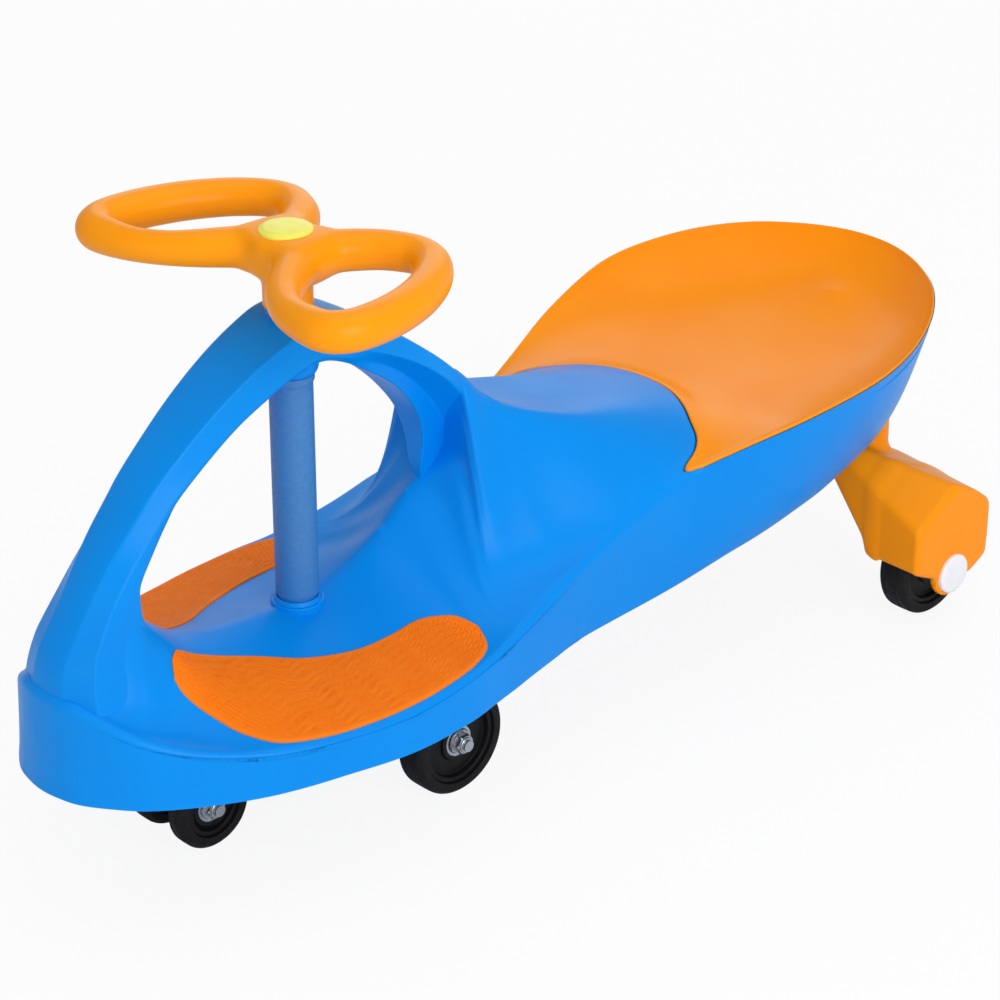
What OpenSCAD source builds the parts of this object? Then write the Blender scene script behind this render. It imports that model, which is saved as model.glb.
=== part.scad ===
// Ride-on wiggle car: moulded body with an arch over the steering column, a seat, two foot pads,
// a looped steering wheel, a swinging front bracket on four wheels and two rear wheel arms.
// Millimetres, +X to the nose, +Y to the car's left, +Z up, origin on the floor below the middle.

/* [Body] */
// Length of the body from nose to seat back
body_length = 782; // [772:2:792]
// Width across the seat rim
seat_width = 282; // [278:1:288]
// Height of the seat rim at the back
rim_height = 235; // [233:0.5:238]
// Thickness of the side walls
body_wall = 4; // [3.5:0.25:4.5]
// Thickness of the deck and the bowl under the seat, measured downwards
deck_wall = 6; // [5:0.25:6.5]
// Thickness of the stiffening ribs
rib_wall = 4; // [3:0.5:6]

/* [Seat and pads] */
// Thickness of the seat liner
seat_wall = 3; // [2.5:0.25:3.5]
// Diameter of the pegs below the seat
seat_peg_d = 8; // [6:0.5:10]
// Thickness of a foot pad
pad_wall = 4; // [3:0.25:5]
// Diameter of the pegs below a foot pad
pad_peg_d = 6; // [5:0.5:8]
// Length of all the pegs below the wall they go through
peg_over = 3; // [2:0.5:5]

/* [Steering column] */
// Diameter of the steering shaft
shaft_d = 16; // [14:0.5:17]
// Diameter of the sleeve around the shaft
sleeve_d = 28.5; // [27:0.5:31]
// Outer diameter of the two column bushes
bush_d = 22; // [21:0.5:24]
// Diameter of the bush flanges
bush_flange_d = 30; // [28:0.5:32]
// Thickness of the bush flanges
bush_flange = 3; // [2:0.25:3.5]
// Length of the bushes inside the body
bush_length = 22; // [20:0.5:24]
// Thickness of the thrust washer below the column
thrust_wall = 2; // [1.5:0.25:2.5]
// Diameter of the collars moulded at both ends of the sleeve
collar_d = 36; // [34:0.5:40]
// Height of the sleeve's lower end
sleeve_low = 141; // [140.5:0.25:142]
// Distance from the middle of the loops down to the top of the arch at the column
arch_drop = 39; // [37.5:0.5:40]
// Distance from the top of the arch down to the sleeve's upper end
sleeve_drop = 41; // [40:0.5:42.5]

/* [Steering wheel] */
// Height of the middle of the loops
loop_height = 383; // [381:0.5:385]
// Diameter of the loop tube
loop_tube_d = 29; // [27:0.5:30]
// Sideways distance from the column to the middle of a loop
loop_reach = 70.5; // [68:0.5:72]
// Forward distance from the column to the middle of a loop
loop_lead = 5; // [3:0.5:7]
// Half length of a loop along its swept axis
loop_long = 64.5; // [62:0.5:67]
// Half length of a loop across its swept axis
loop_short = 45; // [44:0.5:47]
// Forward sweep of the loops in degrees
loop_sweep = 36; // [32:1:40]
// Diameter of the hub
hub_d = 48; // [46:0.5:54]
// Diameter of the neck below the hub
neck_d = 32; // [30:0.5:36]
// Diameter of the hub cap
cap_d = 35; // [33:0.5:38]
// Height of the hub above the loops
hub_rise = 0.5; // [0.25:0.25:1.5]
// Height of the hub cap above the hub
cap_rise = 2; // [1.5:0.25:3]
// Depth of the recess for the hub cap
cap_seat = 4; // [3:0.25:5]
// Diameter of the pocket for the hub screw
pocket_d = 20; // [19:0.5:22]
// Depth of the pocket below the hub cap
pocket_depth = 7; // [6.5:0.25:8]
// Diameter of the hub screw
screw_d = 6; // [5:0.5:7]
// Length of the hub screw in the shaft
screw_length = 27; // [20:1:32]
// Diameter of the screw head across its corners
screw_head_d = 11; // [10:0.5:12]
// Height of the screw head
screw_head = 4.5; // [4:0.25:4.75]
// Thickness of the washer below the screw head
screw_washer = 1.5; // [1:0.25:1.75]

/* [Wheels] */
// Diameter of the four running wheels
wheel_d = 77; // [75:0.5:78]
// Width of the running wheels
wheel_w = 23; // [22:0.5:24]
// Diameter of the two safety wheels
safety_d = 58; // [54:0.5:60]
// Width of the safety wheels
safety_w = 16; // [15:0.5:17]
// Distance from the floor to the safety wheels
safety_lift = 5; // [3:0.5:8]
// Thickness of the tyres
tyre_wall = 8.5; // [7.5:0.25:9]
// Width of the bevel on a tyre's edges
tyre_bevel = 3; // [2:0.25:3.5]
// Thickness of the wheel cores below the tyre
core_rim = 4; // [3:0.25:4.5]
// Thickness of the wheel cores around the bearings
hub_wall = 3; // [2:0.25:4]
// Diameter of all the axles
axle_d = 8; // [7:0.25:8.5]
// Outer diameter of the ball bearings
bearing_d = 22; // [21:0.5:24]
// Width of the ball bearings
bearing_w = 7; // [6:0.25:7.5]
// Distance between the two bearings of a running wheel
bearing_gap = 3; // [2:0.25:4]

/* [Front bracket] */
// Distance from the column back to the main axle
main_trail = 68; // [64:1:72]
// Distance between the middles of the main wheels
main_track = 143; // [141:1:148]
// Distance from the column forward to the safety axle
safety_lead = 97; // [93:1:99]
// Distance between the middles of the safety wheels
safety_track = 41; // [40:0.5:44]
// Thickness of the bracket's steel plate
plate_wall = 4; // [3:0.25:4.5]
// Height of the upper face of the bracket's plate
plate_height = 98; // [96:0.5:100]
// Height of the collar around the shaft above the plate
bracket_collar = 10; // [8:0.5:11]
// Length of the shaft below the plate's upper face
shaft_drop = 7; // [5:0.5:9]
// Diameter of the rounded ends of the bracket's legs
ear_d = 24; // [20:0.5:26]
// Distance from a main wheel to the bracket's leg
main_clear = 6; // [5:0.5:8]
// Distance from a safety wheel to the bracket's leg
safety_clear = 4.5; // [4:0.25:5]

/* [Fasteners] */
// Diameter of the spacers on the axles
spacer_d = 12; // [11:0.5:13]
// Diameter of the washers on the main axle
washer_d = 16; // [14:0.5:18]
// Thickness of the washers on the main axle
washer_wall = 1.5; // [1:0.25:2]
// Diameter of the nuts across their corners
nut_d = 14.4; // [14:0.2:16]
// Thickness of the nuts
nut_w = 6.4; // [5:0.2:7]
// Length of an axle beyond its nut
bolt_end = 2; // [1:0.5:3]

/* [Rear arms] */
// Distance between the two posts
post_track = 146; // [143:1:149]
// Diameter of a post
post_d = 26; // [24:0.5:28]
// Height of a post's upper end
post_top = 176; // [172:0.5:179]
// Height of the sockets' lower ends in the body
socket_low = 120; // [118:0.5:124]
// Height of the ribs' lower edges in the body
rib_low = 129; // [127:0.5:135]
// Height of the hood at its front crest
hood_top = 113; // [111:0.5:114]
// Height of the hood at its rear crest
hood_back = 99; // [98:0.5:101]
// Height of the upper edge of the hood's front face
hood_front = 94; // [92:0.5:96]
// Height of the upper edge of the hood's rear face
hood_rear = 82; // [81:0.5:84]
// Height of the hood's lower edge
hood_low = 50; // [48:0.5:52]
// Length of the bevel at the front of the hood
hood_bevel = 24; // [22:0.5:26]
// Length of the bevel at the rear of the hood
hood_tail = 17; // [15:0.5:18]
// Length of the hood
hood_length = 84; // [82:0.5:88]
// Thickness of the hood's side walls
hood_wall = 6; // [5:0.25:7]
// Thickness of the hood's front and back wall
hood_end = 3.5; // [3:0.25:4]
// Distance between the outer faces of the two hoods
hood_span = 312; // [310:1:316]
// Distance from a rear wheel to the hood's inner wall
hood_clear = 6; // [5:0.5:7]
// Distance from a rear wheel to the hood's outer wall
hood_margin = 9.5; // [8.5:0.5:10.5]
// Distance from a rear wheel's tread to the hood's roof
tread_gap = 3.5; // [3:0.25:4]
// Diameter of the hood's rounded ears around the axle
hood_ear_d = 34; // [30:0.5:36]
// Distance from the car's middle to the inner end of the neck
neck_start = 66; // [64:0.5:68]
// Height of the neck's underside at its inner end
neck_low = 108; // [105:0.5:110]
// Diameter of the axle caps
axle_cap_d = 30; // [28:0.5:32]
// Thickness of the axle caps
axle_cap = 3.5; // [2.5:0.25:4.5]
// Width of the bevel around an axle cap
cap_bevel = 1.2; // [0.8:0.1:1.6]
// Depth of an axle's end inside the hood's outer wall
axle_recess = 2; // [1.5:0.25:3]

/* [Fits] */
// Radial clearance of a shaft in its hole
fit_gap = 0.05; // [0.02:0.01:0.08]
// Clearance between pieces that turn past each other
run_gap = 0.3; // [0.3:0.05:0.4]
// Clearance below the foot pads
lay_gap = 0.8; // [0.7:0.1:1]
// Clearance below the seat
seat_gap = 0.4; // [0.3:0.05:0.5]
// Radial clearance of the shaft in the sleeve
sleeve_gap = 0.9; // [0.7:0.1:1.2]

/* [Hidden] */
$fn = 64;

// Colours of the moulded pieces and the metal
blue = "#0088ec";
slate = "#3d7fc0";
orange = "#ff9500";
pad_orange = "#ff8000";
yellow = "#f5f060";
white = "#f4f4f4";
black = "#1a1a1a";
steel = "#b8bcc0";

// Places along the car
nose_x = body_length / 2;
half_seat = seat_width / 2;
column_share = 0.26854;
column_x = nose_x - column_share * body_length;
main_x = column_x - main_trail;
safety_x = column_x + safety_lead;
rear_share = 0.895141;
rear_x = nose_x - rear_share * body_length;
arch_top = loop_height - arch_drop;
sleeve_high = arch_top - sleeve_drop;
wheel_r = wheel_d / 2;
safety_z = safety_d / 2 + safety_lift;
cut = body_wall;

// Stations from the nose round to the seat back: rim, lower edge and middle line
rim_x_shares = [
    0.0032, 0.0051, 0.0115, 0.0275, 0.046, 0.0767, 0.1176, 0.1535,
    0.1918, 0.234, 0.2724, 0.3197, 0.3619, 0.4054, 0.4501, 0.4923,
    0.5371, 0.5754, 0.6074, 0.6522, 0.7161, 0.7801, 0.821, 0.8632,
    0.9079, 0.9488, 0.9783, 0.9949, 1
];
rim_y_shares = [
    0, 0.0993, 0.2163, 0.3546, 0.4645, 0.5851, 0.7057, 0.7801,
    0.8298, 0.8723, 0.8865, 0.8723, 0.8298, 0.7801, 0.7376, 0.7092,
    0.695, 0.695, 0.7163, 0.7943, 0.9149, 0.9929, 1, 0.9433,
    0.8227, 0.6383, 0.4113, 0.1986, 0
];
rim_z_shares = [
    0.6298, 0.6298, 0.6298, 0.6213, 0.6, 0.5617, 0.5064, 0.4851,
    0.4766, 0.4766, 0.4809, 0.4936, 0.5149, 0.5489, 0.5872, 0.6298,
    0.6766, 0.717, 0.7489, 0.7894, 0.8447, 0.8957, 0.9277, 0.9532,
    0.9766, 0.9915, 0.9979, 1, 1
];
edge_x_shares = [
    0, 0.0019, 0.0083, 0.0249, 0.0428, 0.0742, 0.1164, 0.1535,
    0.1918, 0.234, 0.2724, 0.3197, 0.3619, 0.4054, 0.4501, 0.4859,
    0.5307, 0.5754, 0.6138, 0.6586, 0.7161, 0.7737, 0.8184, 0.8632,
    0.9015, 0.9335, 0.9565, 0.968, 0.9719
];
edge_y_shares = [
    0, 0.0993, 0.2199, 0.3582, 0.4681, 0.5922, 0.7163, 0.7872,
    0.8369, 0.8865, 0.9007, 0.8794, 0.8298, 0.773, 0.7128, 0.6773,
    0.6667, 0.6631, 0.6596, 0.6596, 0.6596, 0.6383, 0.5957, 0.5461,
    0.4823, 0.3972, 0.2695, 0.1348, 0
];
edge_z_shares = [
    0.3574, 0.3574, 0.3574, 0.3574, 0.3574, 0.3574, 0.3574, 0.3574,
    0.3574, 0.3574, 0.3574, 0.3574, 0.3574, 0.3574, 0.3574, 0.3596,
    0.3638, 0.3702, 0.3787, 0.3957, 0.4213, 0.4511, 0.4723, 0.4915,
    0.5085, 0.5277, 0.5489, 0.5681, 0.5745
];
spine_x_shares = [
    0.0512, 0.0524, 0.0563, 0.0639, 0.0767, 0.0997, 0.1304, 0.1598,
    0.1944, 0.234, 0.2724, 0.3223, 0.376, 0.4143, 0.4361, 0.4731,
    0.5396, 0.6164, 0.6841, 0.7097, 0.7481, 0.7928, 0.8261, 0.8593,
    0.89, 0.9143, 0.9297, 0.9373, 0.9399
];
spine_z_shares = [
    0.6426, 0.6426, 0.6404, 0.6383, 0.6383, 0.634, 0.6255, 0.617,
    0.6043, 0.5957, 0.5915, 0.5957, 0.6085, 0.766, 0.9915, 0.9915,
    0.9319, 0.8787, 0.834, 0.8043, 0.7872, 0.783, 0.7872, 0.8,
    0.817, 0.8383, 0.8553, 0.8681, 0.8723
];
crown_powers = [
    2.2, 2.2, 2.2, 2.2, 2.2, 2.2, 2.2, 2.2, 2.2, 2.2, 2.2, 2.2, 2, 1.3, 0.95, 1.6,
    2.4, 2.9, 3, 3, 3, 3, 3, 3, 3, 3, 3, 3, 3
];
flare_power = 0.6;
horn_station = 18;
step_share = 0.03;
stations = [
    for (i = [0:horn_station]) i,
    horn_station + step_share,
    for (i = [horn_station + 1:len(rim_x_shares) - 1]) i
];
n = len(stations);
m = 2 * (n - 1);

// Shares up the side wall and from the rim to the middle line
wall_shares = [0, 0.3, 0.65, 1];
rim_share = 0.97;
seat_share = 0.955;
top_shares = [0.86, 0.74, 0.6, 0.46, 0.32, 0.18];
inner_wall_shares = [0, 0.4, 0.75];
inner_share = 0.93;

function at(tab, f) = let (i = floor(f), t = f - i) t == 0 ? tab[i] : tab[i] * (1 - t) + tab[i + 1] * t;
function half_index(j) = j < n ? j : m - j;
function side(j) = j < n ? 1 : -1;
function place(j) = stations[half_index(j)];
function rim_point(j) = let (f = place(j)) [
    nose_x - at(rim_x_shares, f) * body_length,
    side(j) * at(rim_y_shares, f) * half_seat,
    at(rim_z_shares, f) * rim_height
];
function edge_point(j) = let (f = place(j)) [
    nose_x - at(edge_x_shares, f) * body_length,
    side(j) * at(edge_y_shares, f) * half_seat,
    at(edge_z_shares, f) * rim_height
];
function flat(v) = [v[0], v[1], 0];
function unit(v) = v / norm(v);
// Outward direction in plan at a station, square to the line between its neighbours
function outward(j) = let (
    a = flat(edge_point((j + m - 1) % m)),
    b = flat(edge_point((j + 1) % m)),
    d = unit(b - a)
) [d[1], -d[0], 0];
// Point on the side wall, flaring out from the lower edge to the rim
function wall_point(j, q, inset) = let (
    a = edge_point(j),
    b = rim_point(j),
    k = pow(q, flare_power)
) [a[0] + (b[0] - a[0]) * k, a[1] + (b[1] - a[1]) * k, a[2] + (b[2] - a[2]) * q] - outward(j) * inset;
function recess(j) = place(j) > horn_station ? seat_wall : 0;
// Point on the upper side, between the middle line and the rim
function top_at(f, s, sd) = let (
    xs = nose_x - at(spine_x_shares, f) * body_length,
    zs = at(spine_z_shares, f) * rim_height,
    xr = nose_x - at(rim_x_shares, f) * body_length,
    yr = at(rim_y_shares, f) * half_seat,
    zr = at(rim_z_shares, f) * rim_height
) [xs + (xr - xs) * s * s, sd * yr * s, zs + (zr - zs) * pow(s, at(crown_powers, f))];
function top_point(j, s, drop) = top_at(place(j), s, side(j)) - [0, 0, drop];
function spine_point(i, drop) = top_at(stations[i], 0, 1) - [0, 0, drop];

// Faces of a skin of closed rings that ends in a middle line at both ends
function ring_faces(base, rows) = [
    for (r = [0:rows - 2], j = [0:m - 1]) let (
        a = base + r * m + j,
        b = base + r * m + (j + 1) % m,
        c = b + m,
        d = a + m
    ) each [[a, c, b], [a, d, c]]
];
function end_faces(ring, spine, turn) = [
    for (j = [0:m - 1]) let (
        a = ring + j,
        b = ring + (j + 1) % m,
        c = spine + half_index((j + 1) % m),
        d = spine + half_index(j)
    ) each turn ? [[a, b, c], [a, c, d]] : [[a, c, b], [a, d, c]]
];
module skin(first, rings, last) {
    rows = len(rings);
    polyhedron(
        points = concat(first, [for (r = rings) each r], last),
        faces = concat(
            end_faces(n, 0, true),
            ring_faces(n, rows),
            end_faces(n + (rows - 1) * m, n + rows * m, false)
        ),
        convexity = 10
    );
}
under = [for (i = [0:n - 1]) spine_point(i, deck_wall + recess(i))];
over = [for (i = [0:n - 1]) spine_point(i, recess(i))];
inner_tops = [for (k = [len(top_shares) - 1:-1:0]) top_shares[k]];
inner_walls = [for (k = [len(inner_wall_shares) - 1:-1:0]) inner_wall_shares[k]];

// Thin moulding from the deck's underside round the lower edge to the upper side
module moulding() {
    skin(
        under,
        concat(
            [for (s = inner_tops) [for (j = [0:m - 1]) top_point(j, s, deck_wall + recess(j))]],
            [[for (j = [0:m - 1]) top_point(j, inner_share, deck_wall + recess(j))]],
            [for (q = inner_walls) [for (j = [0:m - 1]) wall_point(j, q, body_wall)]],
            [for (q = wall_shares) [for (j = [0:m - 1]) wall_point(j, q, 0)]],
            [[for (j = [0:m - 1]) top_point(j, rim_share, 0)]],
            [for (s = concat([seat_share], top_shares)) [for (j = [0:m - 1]) top_point(j, s, recess(j))]]
        ),
        over
    );
}
// Solid up to the middle of the wall, which the ribs and sockets are cut to
module core() {
    half_drop = deck_wall / 2;
    skin(
        [for (i = [0:n - 1]) [spine_point(i, 0)[0], 0, edge_point(i)[2] - body_wall]],
        concat(
            [for (q = inner_wall_shares) [for (j = [0:m - 1]) wall_point(j, q, body_wall / 2)]],
            [for (s = concat([inner_share], top_shares))
                [for (j = [0:m - 1]) top_point(j, s, half_drop + recess(j))]]
        ),
        [for (i = [0:n - 1]) spine_point(i, half_drop + recess(i))]
    );
}

// Stations of the arch from the nose over the column to the hump
arch_outer_x_shares = [
    0.009, 0.0102, 0.0192, 0.0409, 0.0729, 0.1138, 0.1586, 0.1995,
    0.2366, 0.2685, 0.3069, 0.3478, 0.3862, 0.4182, 0.4476, 0.4757,
    0.5038, 0.4757, 0.445
];
arch_outer_z_shares = [
    0.407, 0.4506, 0.5, 0.5814, 0.686, 0.7878, 0.8721, 0.9331,
    0.9738, 0.9942, 0.9826, 0.9273, 0.8634, 0.7994, 0.7267, 0.6715,
    0.6192, 0.5349, 0.4302
];
arch_inner_x_shares = [
    0.0384, 0.0371, 0.0473, 0.0652, 0.0972, 0.1355, 0.1829, 0.2187,
    0.2494, 0.2737, 0.2992, 0.3286, 0.3555, 0.3811, 0.4015, 0.413,
    0.4066, 0.3939, 0.3862
];
arch_inner_z_shares = [
    0.407, 0.4506, 0.5, 0.5756, 0.6715, 0.7529, 0.8314, 0.875,
    0.907, 0.9186, 0.8983, 0.8576, 0.814, 0.7616, 0.6977, 0.6279,
    0.5523, 0.4651, 0.3953
];
arch_face_y_shares = [
    0.1064, 0.0993, 0.0922, 0.0922, 0.1099, 0.1277, 0.1489, 0.1667,
    0.1809, 0.1915, 0.1986, 0.2057, 0.2199, 0.227, 0.234, 0.234,
    0.2057, 0.2057, 0.2057
];
arch_flange_y_shares = [
    0.2624, 0.2482, 0.2199, 0.1915, 0.1773, 0.1773, 0.1844, 0.1986,
    0.2163, 0.234, 0.2411, 0.2553, 0.2695, 0.2624, 0.2624, 0.2624,
    0.234, 0.234, 0.234
];
arch_neck_y_shares = [
    0.2482, 0.234, 0.2057, 0.1738, 0.1596, 0.1596, 0.1631, 0.1773,
    0.1986, 0.2199, 0.2199, 0.2128, 0.2057, 0.1986, 0.1986, 0.2057,
    0.2057, 0.2057, 0.2128
];
arch_lip_y_shares = [
    0.2199, 0.2057, 0.1773, 0.1418, 0.1277, 0.1277, 0.1348, 0.1418,
    0.1631, 0.1844, 0.1844, 0.1844, 0.1773, 0.1773, 0.1773, 0.1773,
    0.1773, 0.1844, 0.1915
];
arch_flange_depth_shares = [
    0.75, 0.75, 0.75, 0.75, 0.75, 0.75, 0.75, 0.75,
    0.75, 0.7, 0.65, 0.6, 0.55, 0.5, 0.47, 0.45,
    0.44, 0.44, 0.44
];
arch_neck_depth_shares = [
    0.9, 0.9, 0.9, 0.9, 0.9, 0.9, 0.9, 0.9,
    0.9, 0.88, 0.86, 0.82, 0.78, 0.74, 0.72, 0.7,
    0.7, 0.7, 0.7
];
arch_count = len(arch_outer_x_shares);

// One cross section of the arch: outer face, flange, neck and lip on both sides
function arch_ring(i) = let (
    o = [nose_x - arch_outer_x_shares[i] * body_length, arch_outer_z_shares[i] * arch_top],
    c = [nose_x - arch_inner_x_shares[i] * body_length, arch_inner_z_shares[i] * arch_top],
    depths = [0, arch_flange_depth_shares[i], arch_neck_depth_shares[i], 1],
    ys = half_seat * [
        arch_face_y_shares[i], arch_flange_y_shares[i],
        arch_neck_y_shares[i], arch_lip_y_shares[i]
    ]
) [
    for (k = [0:3]) let (p = o + (c - o) * depths[k]) [p[0], ys[k], p[1]],
    for (k = [3:-1:0]) let (p = o + (c - o) * depths[k]) [p[0], -ys[k], p[1]]
];
module arch() {
    c = 8;
    last = (arch_count - 1) * c;
    polyhedron(
        points = [for (i = [0:arch_count - 1]) each arch_ring(i)],
        faces = concat(
            [for (i = [0:arch_count - 2], k = [0:c - 1]) let (
                a = i * c + k,
                b = i * c + (k + 1) % c
            ) each [[a, b + c, b], [a, a + c, b + c]]],
            [for (k = [0:2]) each [[k, k + 1, 6 - k], [k, 6 - k, 7 - k]]],
            [for (k = [0:2]) let (e = last + k, g = last + 6 - k)
                each [[e, g, e + 1], [e, g + 1, g]]]
        ),
        convexity = 10
    );
}

// Height of the upper side above a place in plan, found by halving the run of stations
deck_first = 3;
seat_last = 26;
halvings = 24;
function plan_x(f, y) = top_at(f, y / (at(rim_y_shares, f) * half_seat), 1)[0];
function find(x, y, lo, hi, k) = let (mid = (lo + hi) / 2)
    k == 0 ? mid : plan_x(mid, y) > x ? find(x, y, mid, hi, k - 1) : find(x, y, lo, mid, k - 1);
function surface_z(x, y) = let (
    v = abs(y),
    f = find(x, v, deck_first, seat_last, halvings)
) top_at(f, v / (at(rim_y_shares, f) * half_seat), 1)[2];

// Places of the pads, pegs and ribs
pad_inner_x_shares = [
    0.3645, 0.3529, 0.3274, 0.2941, 0.2558, 0.2148, 0.1765, 0.1432,
    0.1228, 0.1049
];
pad_inner_y_shares = [
    0.6383, 0.4894, 0.4468, 0.4681, 0.4823, 0.4043, 0.2624, 0.1277,
    0.1135, 0.1844
];
pad_outer_x_shares = [
    0.3619, 0.3568, 0.3376, 0.3069, 0.257, 0.1918, 0.1407, 0.1189,
    0.1061, 0.0997
];
pad_outer_y_shares = [
    0.6809, 0.7589, 0.8191, 0.8475, 0.8582, 0.8085, 0.7305, 0.617,
    0.4894, 0.305
];
pad_peg_x_shares = [
    0.3261, 0.2366, 0.1432
];
pad_peg_y_shares = [
    0.6525, 0.6738, 0.4397
];
seat_peg_x_shares = [
    0.7481, 0.7481, 0.8376, 0.8376
];
seat_peg_y_shares = [
    0.4255, -0.4255, 0.227, -0.227
];
rib_x_shares = [
    0.6522, 0.7801, 0.8951
];

// Heights along the column
thrust_z = plate_height + bracket_collar;
lower_flange_z = thrust_z + thrust_wall + run_gap;
lower_boss_z = lower_flange_z + bush_flange;
upper_flange_z = arch_top;
neck_z = upper_flange_z + bush_flange + run_gap;
hub_low = loop_height - loop_tube_d / 2;
hub_top = loop_height + loop_tube_d / 2 + hub_rise;
shaft_top = hub_top - cap_seat - pocket_depth;
shaft_low = plate_height - shaft_drop;
shaft_bore = shaft_d + 2 * fit_gap;

// Places of the seat pegs, the pad pegs and the ribs
seat_pegs = [for (i = [0:len(seat_peg_x_shares) - 1])
    [nose_x - seat_peg_x_shares[i] * body_length, seat_peg_y_shares[i] * half_seat]];
pad_pegs = [for (i = [0:len(pad_peg_x_shares) - 1])
    [nose_x - pad_peg_x_shares[i] * body_length, pad_peg_y_shares[i] * half_seat]];
rib_xs = [for (s = rib_x_shares) nose_x - s * body_length];

// Rear wheel arms
hood_out = hood_span / 2;
rear_y = hood_out - hood_wall - hood_margin - wheel_w / 2;
post_y = post_track / 2;
hood_in = rear_y - wheel_w / 2 - hood_clear - hood_wall;
well_top = wheel_d + tread_gap;

module along_y(x, z, y0, y1) {
    translate([x, y0, z])
        rotate([-90, 0, 0])
            linear_extrude(y1 - y0)
                children();
}
module tube_z(x, y, z0, z1, d) {
    translate([x, y, z0])
        cylinder(d = d, h = z1 - z0);
}
module tube_y(x, z, y0, y1, d) {
    along_y(x, z, y0, y1)
        circle(d = d);
}
module both() {
    children();
    mirror([0, 1, 0])
        children();
}

module body_shell() {
    color(blue)
    difference() {
        union() {
            moulding();
            arch();
            tube_z(column_x, 0, lower_boss_z, sleeve_low, collar_d);
            tube_z(column_x, 0, sleeve_high, arch_top, collar_d);
            intersection() {
                core();
                union() {
                    for (x = rib_xs)
                        translate([x - rib_wall / 2, -half_seat, rib_low])
                            cube([rib_wall, seat_width, rim_height - rib_low]);
                    both()
                        tube_z(rear_x, post_y, socket_low, rim_height, post_d + 2 * body_wall);
                }
            }
        }
        tube_z(column_x, 0, lower_boss_z - cut, sleeve_low + cut, bush_d + 2 * fit_gap);
        tube_z(column_x, 0, sleeve_high - cut, arch_top + cut, bush_d + 2 * fit_gap);
        both()
            tube_z(rear_x, post_y, socket_low - cut, post_top + run_gap, post_d + 2 * fit_gap);
        both()
            for (p = pad_pegs)
                tube_z(p[0], p[1], surface_z(p[0], p[1]) - deck_wall - peg_over - cut,
                    surface_z(p[0], p[1]) + cut, pad_peg_d + 2 * fit_gap);
        for (p = seat_pegs)
            tube_z(p[0], p[1], surface_z(p[0], p[1]) - seat_wall - deck_wall - peg_over - cut,
                surface_z(p[0], p[1]) + cut, seat_peg_d + 2 * fit_gap);
    }
}

// Seat liner laid over the bowl, from the horns round the seat back
seat_stations = [
    horn_station + 2 * step_share,
    for (i = [horn_station + 1:len(rim_x_shares) - 1]) i
];
liner_edge_share = 0.945;
liner_shares = concat([liner_edge_share], top_shares);
sn = len(seat_stations);
sm = 2 * sn - 1;
function seat_place(j) = seat_stations[j < sn ? j : sm - 1 - j];
function seat_side(j) = j < sn ? 1 : -1;
function seat_level(drop) = concat(
    [for (s = liner_shares, j = [0:sm - 1]) top_at(seat_place(j), s, seat_side(j)) - [0, 0, drop]],
    [for (f = seat_stations) top_at(f, 0, 1) - [0, 0, drop]]
);
rows = len(liner_shares);
level = rows * sm + sn;
function seat_grid(base) = concat(
    [for (r = [0:rows - 2], j = [0:sm - 2]) let (a = base + r * sm + j)
        each [[a, a + sm + 1, a + 1], [a, a + sm, a + sm + 1]]],
    [for (j = [0:sm - 2]) let (
        a = base + (rows - 1) * sm + j,
        spine = base + rows * sm,
        c = spine + (j + 1 < sn ? j + 1 : sm - 2 - j),
        d = spine + (j < sn ? j : sm - 1 - j)
    ) each [[a, c, a + 1], [a, d, c]]]
);
function turned(faces) = [for (f = faces) [f[0], f[2], f[1]]];
front_chain = concat(
    [for (r = [0:rows - 1]) r * sm],
    [rows * sm],
    [for (r = [rows - 1:-1:0]) r * sm + sm - 1]
);
module liner() {
    polyhedron(
        points = concat(seat_level(0), seat_level(seat_wall - seat_gap)),
        faces = concat(
            seat_grid(0),
            turned(seat_grid(level)),
            [for (j = [0:sm - 2]) each [[j, level + j + 1, level + j], [j, j + 1, level + j + 1]]],
            [for (k = [0:len(front_chain) - 2]) let (
                a = front_chain[k],
                b = front_chain[k + 1]
            ) each [[a, level + b, b], [a, level + a, level + b]]]
        ),
        convexity = 10
    );
}
module seat() {
    color(orange)
    union() {
        liner();
        for (p = seat_pegs) {
            z = surface_z(p[0], p[1]);
            tube_z(p[0], p[1], z - seat_wall - deck_wall - peg_over, z - seat_wall / 2, seat_peg_d);
        }
    }
}

// Foot pad between an inner and an outer edge, laid over the crowned deck
across_shares = [0, 0.25, 0.5, 0.75, 1];
pc = len(across_shares);
pn = len(pad_inner_x_shares);
function pad_plan(i, v) = [
    nose_x - (pad_inner_x_shares[i] * (1 - v) + pad_outer_x_shares[i] * v) * body_length,
    (pad_inner_y_shares[i] * (1 - v) + pad_outer_y_shares[i] * v) * half_seat
];
function pad_level(rise) = [
    for (i = [0:pn - 1], v = across_shares) let (p = pad_plan(i, v))
        [p[0], p[1], surface_z(p[0], p[1]) + rise]
];
pad_size = pn * pc;
pad_grid = [
    for (i = [0:pn - 2], k = [0:pc - 2]) let (a = i * pc + k)
        each [[a, a + pc + 1, a + pc], [a, a + 1, a + pc + 1]]
];
pad_loop = concat(
    [for (k = [0:pc - 1]) k],
    [for (i = [1:pn - 1]) i * pc + pc - 1],
    [for (k = [pc - 2:-1:0]) (pn - 1) * pc + k],
    [for (i = [pn - 2:-1:1]) i * pc]
);
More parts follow.
